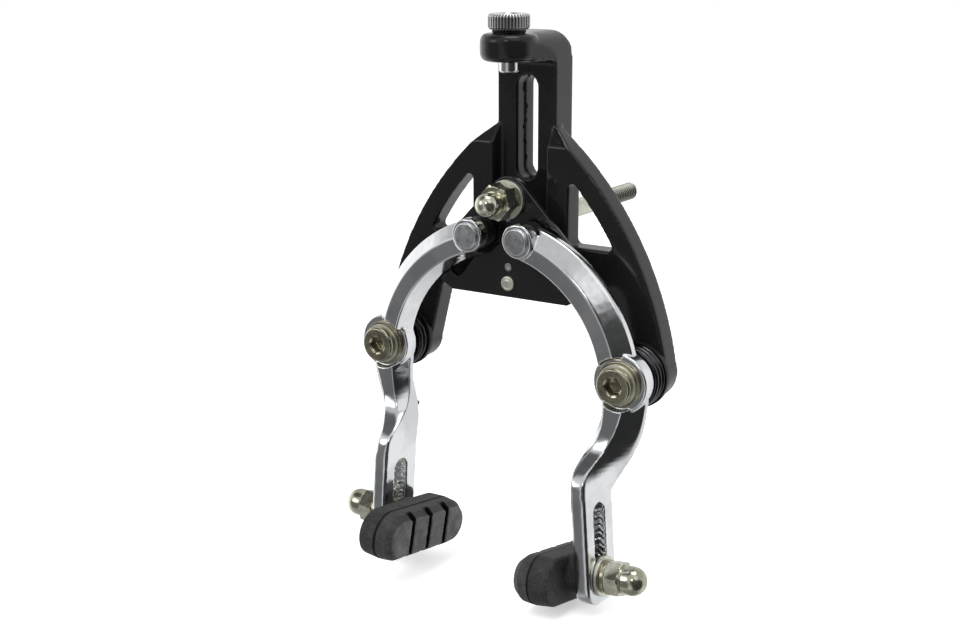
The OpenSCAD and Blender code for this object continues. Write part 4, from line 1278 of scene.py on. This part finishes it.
@dataclass
class Studio:
    """Floor, lamps, surroundings and camera."""

    azimuth: float = math.radians(33.13)
    elevation: float = math.radians(14.85)
    roll: float = math.radians(-0.2)
    camera_at: tuple = (0.24714, -0.41553, 0.09455)
    lens: float = 57.54
    floor_z: float = -0.1135
    floor_half: float = 3.0
    lit_point: tuple = (0, 0, -0.02)
    matt_level: float = 0.62

    def build(self) -> None:
        """Makes all of the studio."""
        self.camera()
        self.floor()
        self.lamps()
        self.surroundings()

    def camera(self) -> None:
        """The camera at the photograph's viewing angle."""
        a, e, r = self.azimuth, self.elevation, self.roll
        ahead = Vector((-math.sin(a) * math.cos(e), math.cos(a) * math.cos(e), -math.sin(e)))
        right = Vector((math.cos(a), math.sin(a), 0))
        up = right.cross(ahead)
        side = right * math.cos(r) + up * math.sin(r)
        top = up * math.cos(r) - right * math.sin(r)
        data = bpy.data.cameras.new("camera")
        data.lens = self.lens
        data.clip_start = 0.01
        camera = placed("camera", data)
        turn = Matrix((side, top, -ahead)).transposed().to_4x4()
        camera.matrix_world = Matrix.Translation(self.camera_at) @ turn
        bpy.context.scene.camera = camera

    def floor(self) -> None:
        """A large pale floor that keeps the object's shadow."""
        across = np.linspace(-self.floor_half, self.floor_half, 3)
        x, y = np.meshgrid(across, across)
        grid = np.stack([x, y, np.full_like(x, self.floor_z)], -1)
        mesh = net(grid, wrap_columns=False)
        mat = bpy.data.materials.new("floor_paper")
        g = Graph(mat)
        diffuse = g.add("ShaderNodeBsdfDiffuse", {"Color": (0.9, 0.9, 0.9, 1)})
        seen = g.add("ShaderNodeLightPath").outputs["Is Camera Ray"]
        glow = g.add("ShaderNodeEmission", {"Strength": g.math("MULTIPLY", seen, 0.45)})
        both = g.add("ShaderNodeAddShader", {0: diffuse.outputs[0], 1: glow.outputs[0]})
        g.add("ShaderNodeOutputMaterial", {0: both.outputs[0]})
        mesh.materials.append(mat)
        floor = placed("floor", mesh)
        floor.visible_glossy = False

    def lamps(self) -> None:
        """Three large soft lamps: one overhead, one on each side."""
        for name, where, size, power in (
            ("lamp_top", (-0.15, -0.35, 0.75), 0.7, 6.0),
            ("lamp_left", (-0.75, -0.25, 0.25), 0.6, 3.0),
            ("lamp_right", (0.75, 0.25, 0.35), 0.6, 3.5),
        ):
            data = bpy.data.lights.new(name, "AREA")
            data.size = size
            data.energy = power
            lamp = placed(name, data)
            lamp.location = where
            lamp.visible_glossy = False
            aim = Vector(self.lit_point) - Vector(where)
            lamp.rotation_euler = aim.to_track_quat("-Z", "Y").to_euler()

    def surroundings(self) -> None:
        """White for the eye, even light for matt surfaces, and a room with dark parts for metal.

        In the room that metal mirrors, soft patches stand on an uneven level. Each patch has the
        direction of its middle, the dot products with the mirrored direction where it starts and
        where it is full, and its brightness.
        """
        world = bpy.data.worlds.new("studio")
        bpy.context.scene.world = world
        g = Graph(world)
        way = g.add("ShaderNodeTexCoord").outputs["Generated"]
        level: Any = g.remap(g.noise(2.6, 2.0, where=way), 0.35, 0.65, 0.52, 0.86)
        a, e = self.azimuth, self.elevation
        to_camera = (math.sin(a) * math.cos(e), -math.cos(a) * math.cos(e), math.sin(e))
        patches = (
            ((0.53, 0.81, -0.26), 0.60, 0.92, 0.92),
            ((-0.25, -0.30, 0.92), 0.75, 0.95, 0.68),
            ((-0.95, 0.20, -0.10), 0.82, 0.95, 1.3),
            ((0.0, -0.2, -0.97), 0.70, 0.95, 0.30),
            ((-0.53, -0.81, -0.22), 0.78, 0.97, 0.17),
            ((0.90, -0.38, -0.22), 0.60, 0.86, 0.03),
            (to_camera, 0.78, 0.97, 0.06),
            ((0.10, 0.05, 0.99), 0.945, 0.98, 4.0),
            ((0.62, -0.30, 0.72), 0.930, 0.975, 1.1),
            ((-0.55, -0.75, 0.38), 0.965, 0.985, 2.4),
            ((-0.53, -0.19, 0.83), 0.920, 0.97, 0.12),
            ((0.28, -0.80, 0.53), 0.988, 0.995, 3.5),
        )
        for centre, low, high, value in patches:
            unit = Vector(centre).normalized()
            dot = g.add("ShaderNodeVectorMath", {0: way, 1: tuple(unit)}, operation="DOT_PRODUCT")
            level = g.lerp(g.remap(dot.outputs["Value"], low, high, 0.0, 1.0), level, value)
        path = g.add("ShaderNodeLightPath")
        glossy = g.math("MULTIPLY", path.outputs["Is Glossy Ray"], level)
        seen = g.math("MAXIMUM", path.outputs["Is Camera Ray"], path.outputs["Is Transmission Ray"])
        direct = g.math("MAXIMUM", seen, path.outputs["Is Glossy Ray"])
        matt = g.math("MULTIPLY", g.math("SUBTRACT", 1.0, direct), self.matt_level)
        strength = g.math("ADD", g.math("ADD", glossy, seen), matt)
        back = g.add("ShaderNodeBackground", {"Color": (1, 1, 1, 1), "Strength": strength})
        g.add("ShaderNodeOutputWorld", {0: back.outputs[0]})


def corners(box: tuple[Vector, Vector]) -> list[list[float]]:
    """A box's two corners as plain lists."""
    return [list(corner) for corner in box]


def main() -> None:
    """Builds the brake and the studio."""
    logging.basicConfig(level=logging.INFO, format="%(name)s: %(message)s")
    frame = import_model()
    bpy.context.scene.view_settings.view_transform = "Standard"
    shop = Shop(frame)
    parts: list[Any] = [Casting(shop), Adjuster(shop), LiftPlate(shop)]
    for side in Side:
        parts += [Arm(shop, side), PadSet(shop, side)]
    for part in parts:
        part.build()
    Studio().build()


if __name__ == "__main__":
    main()
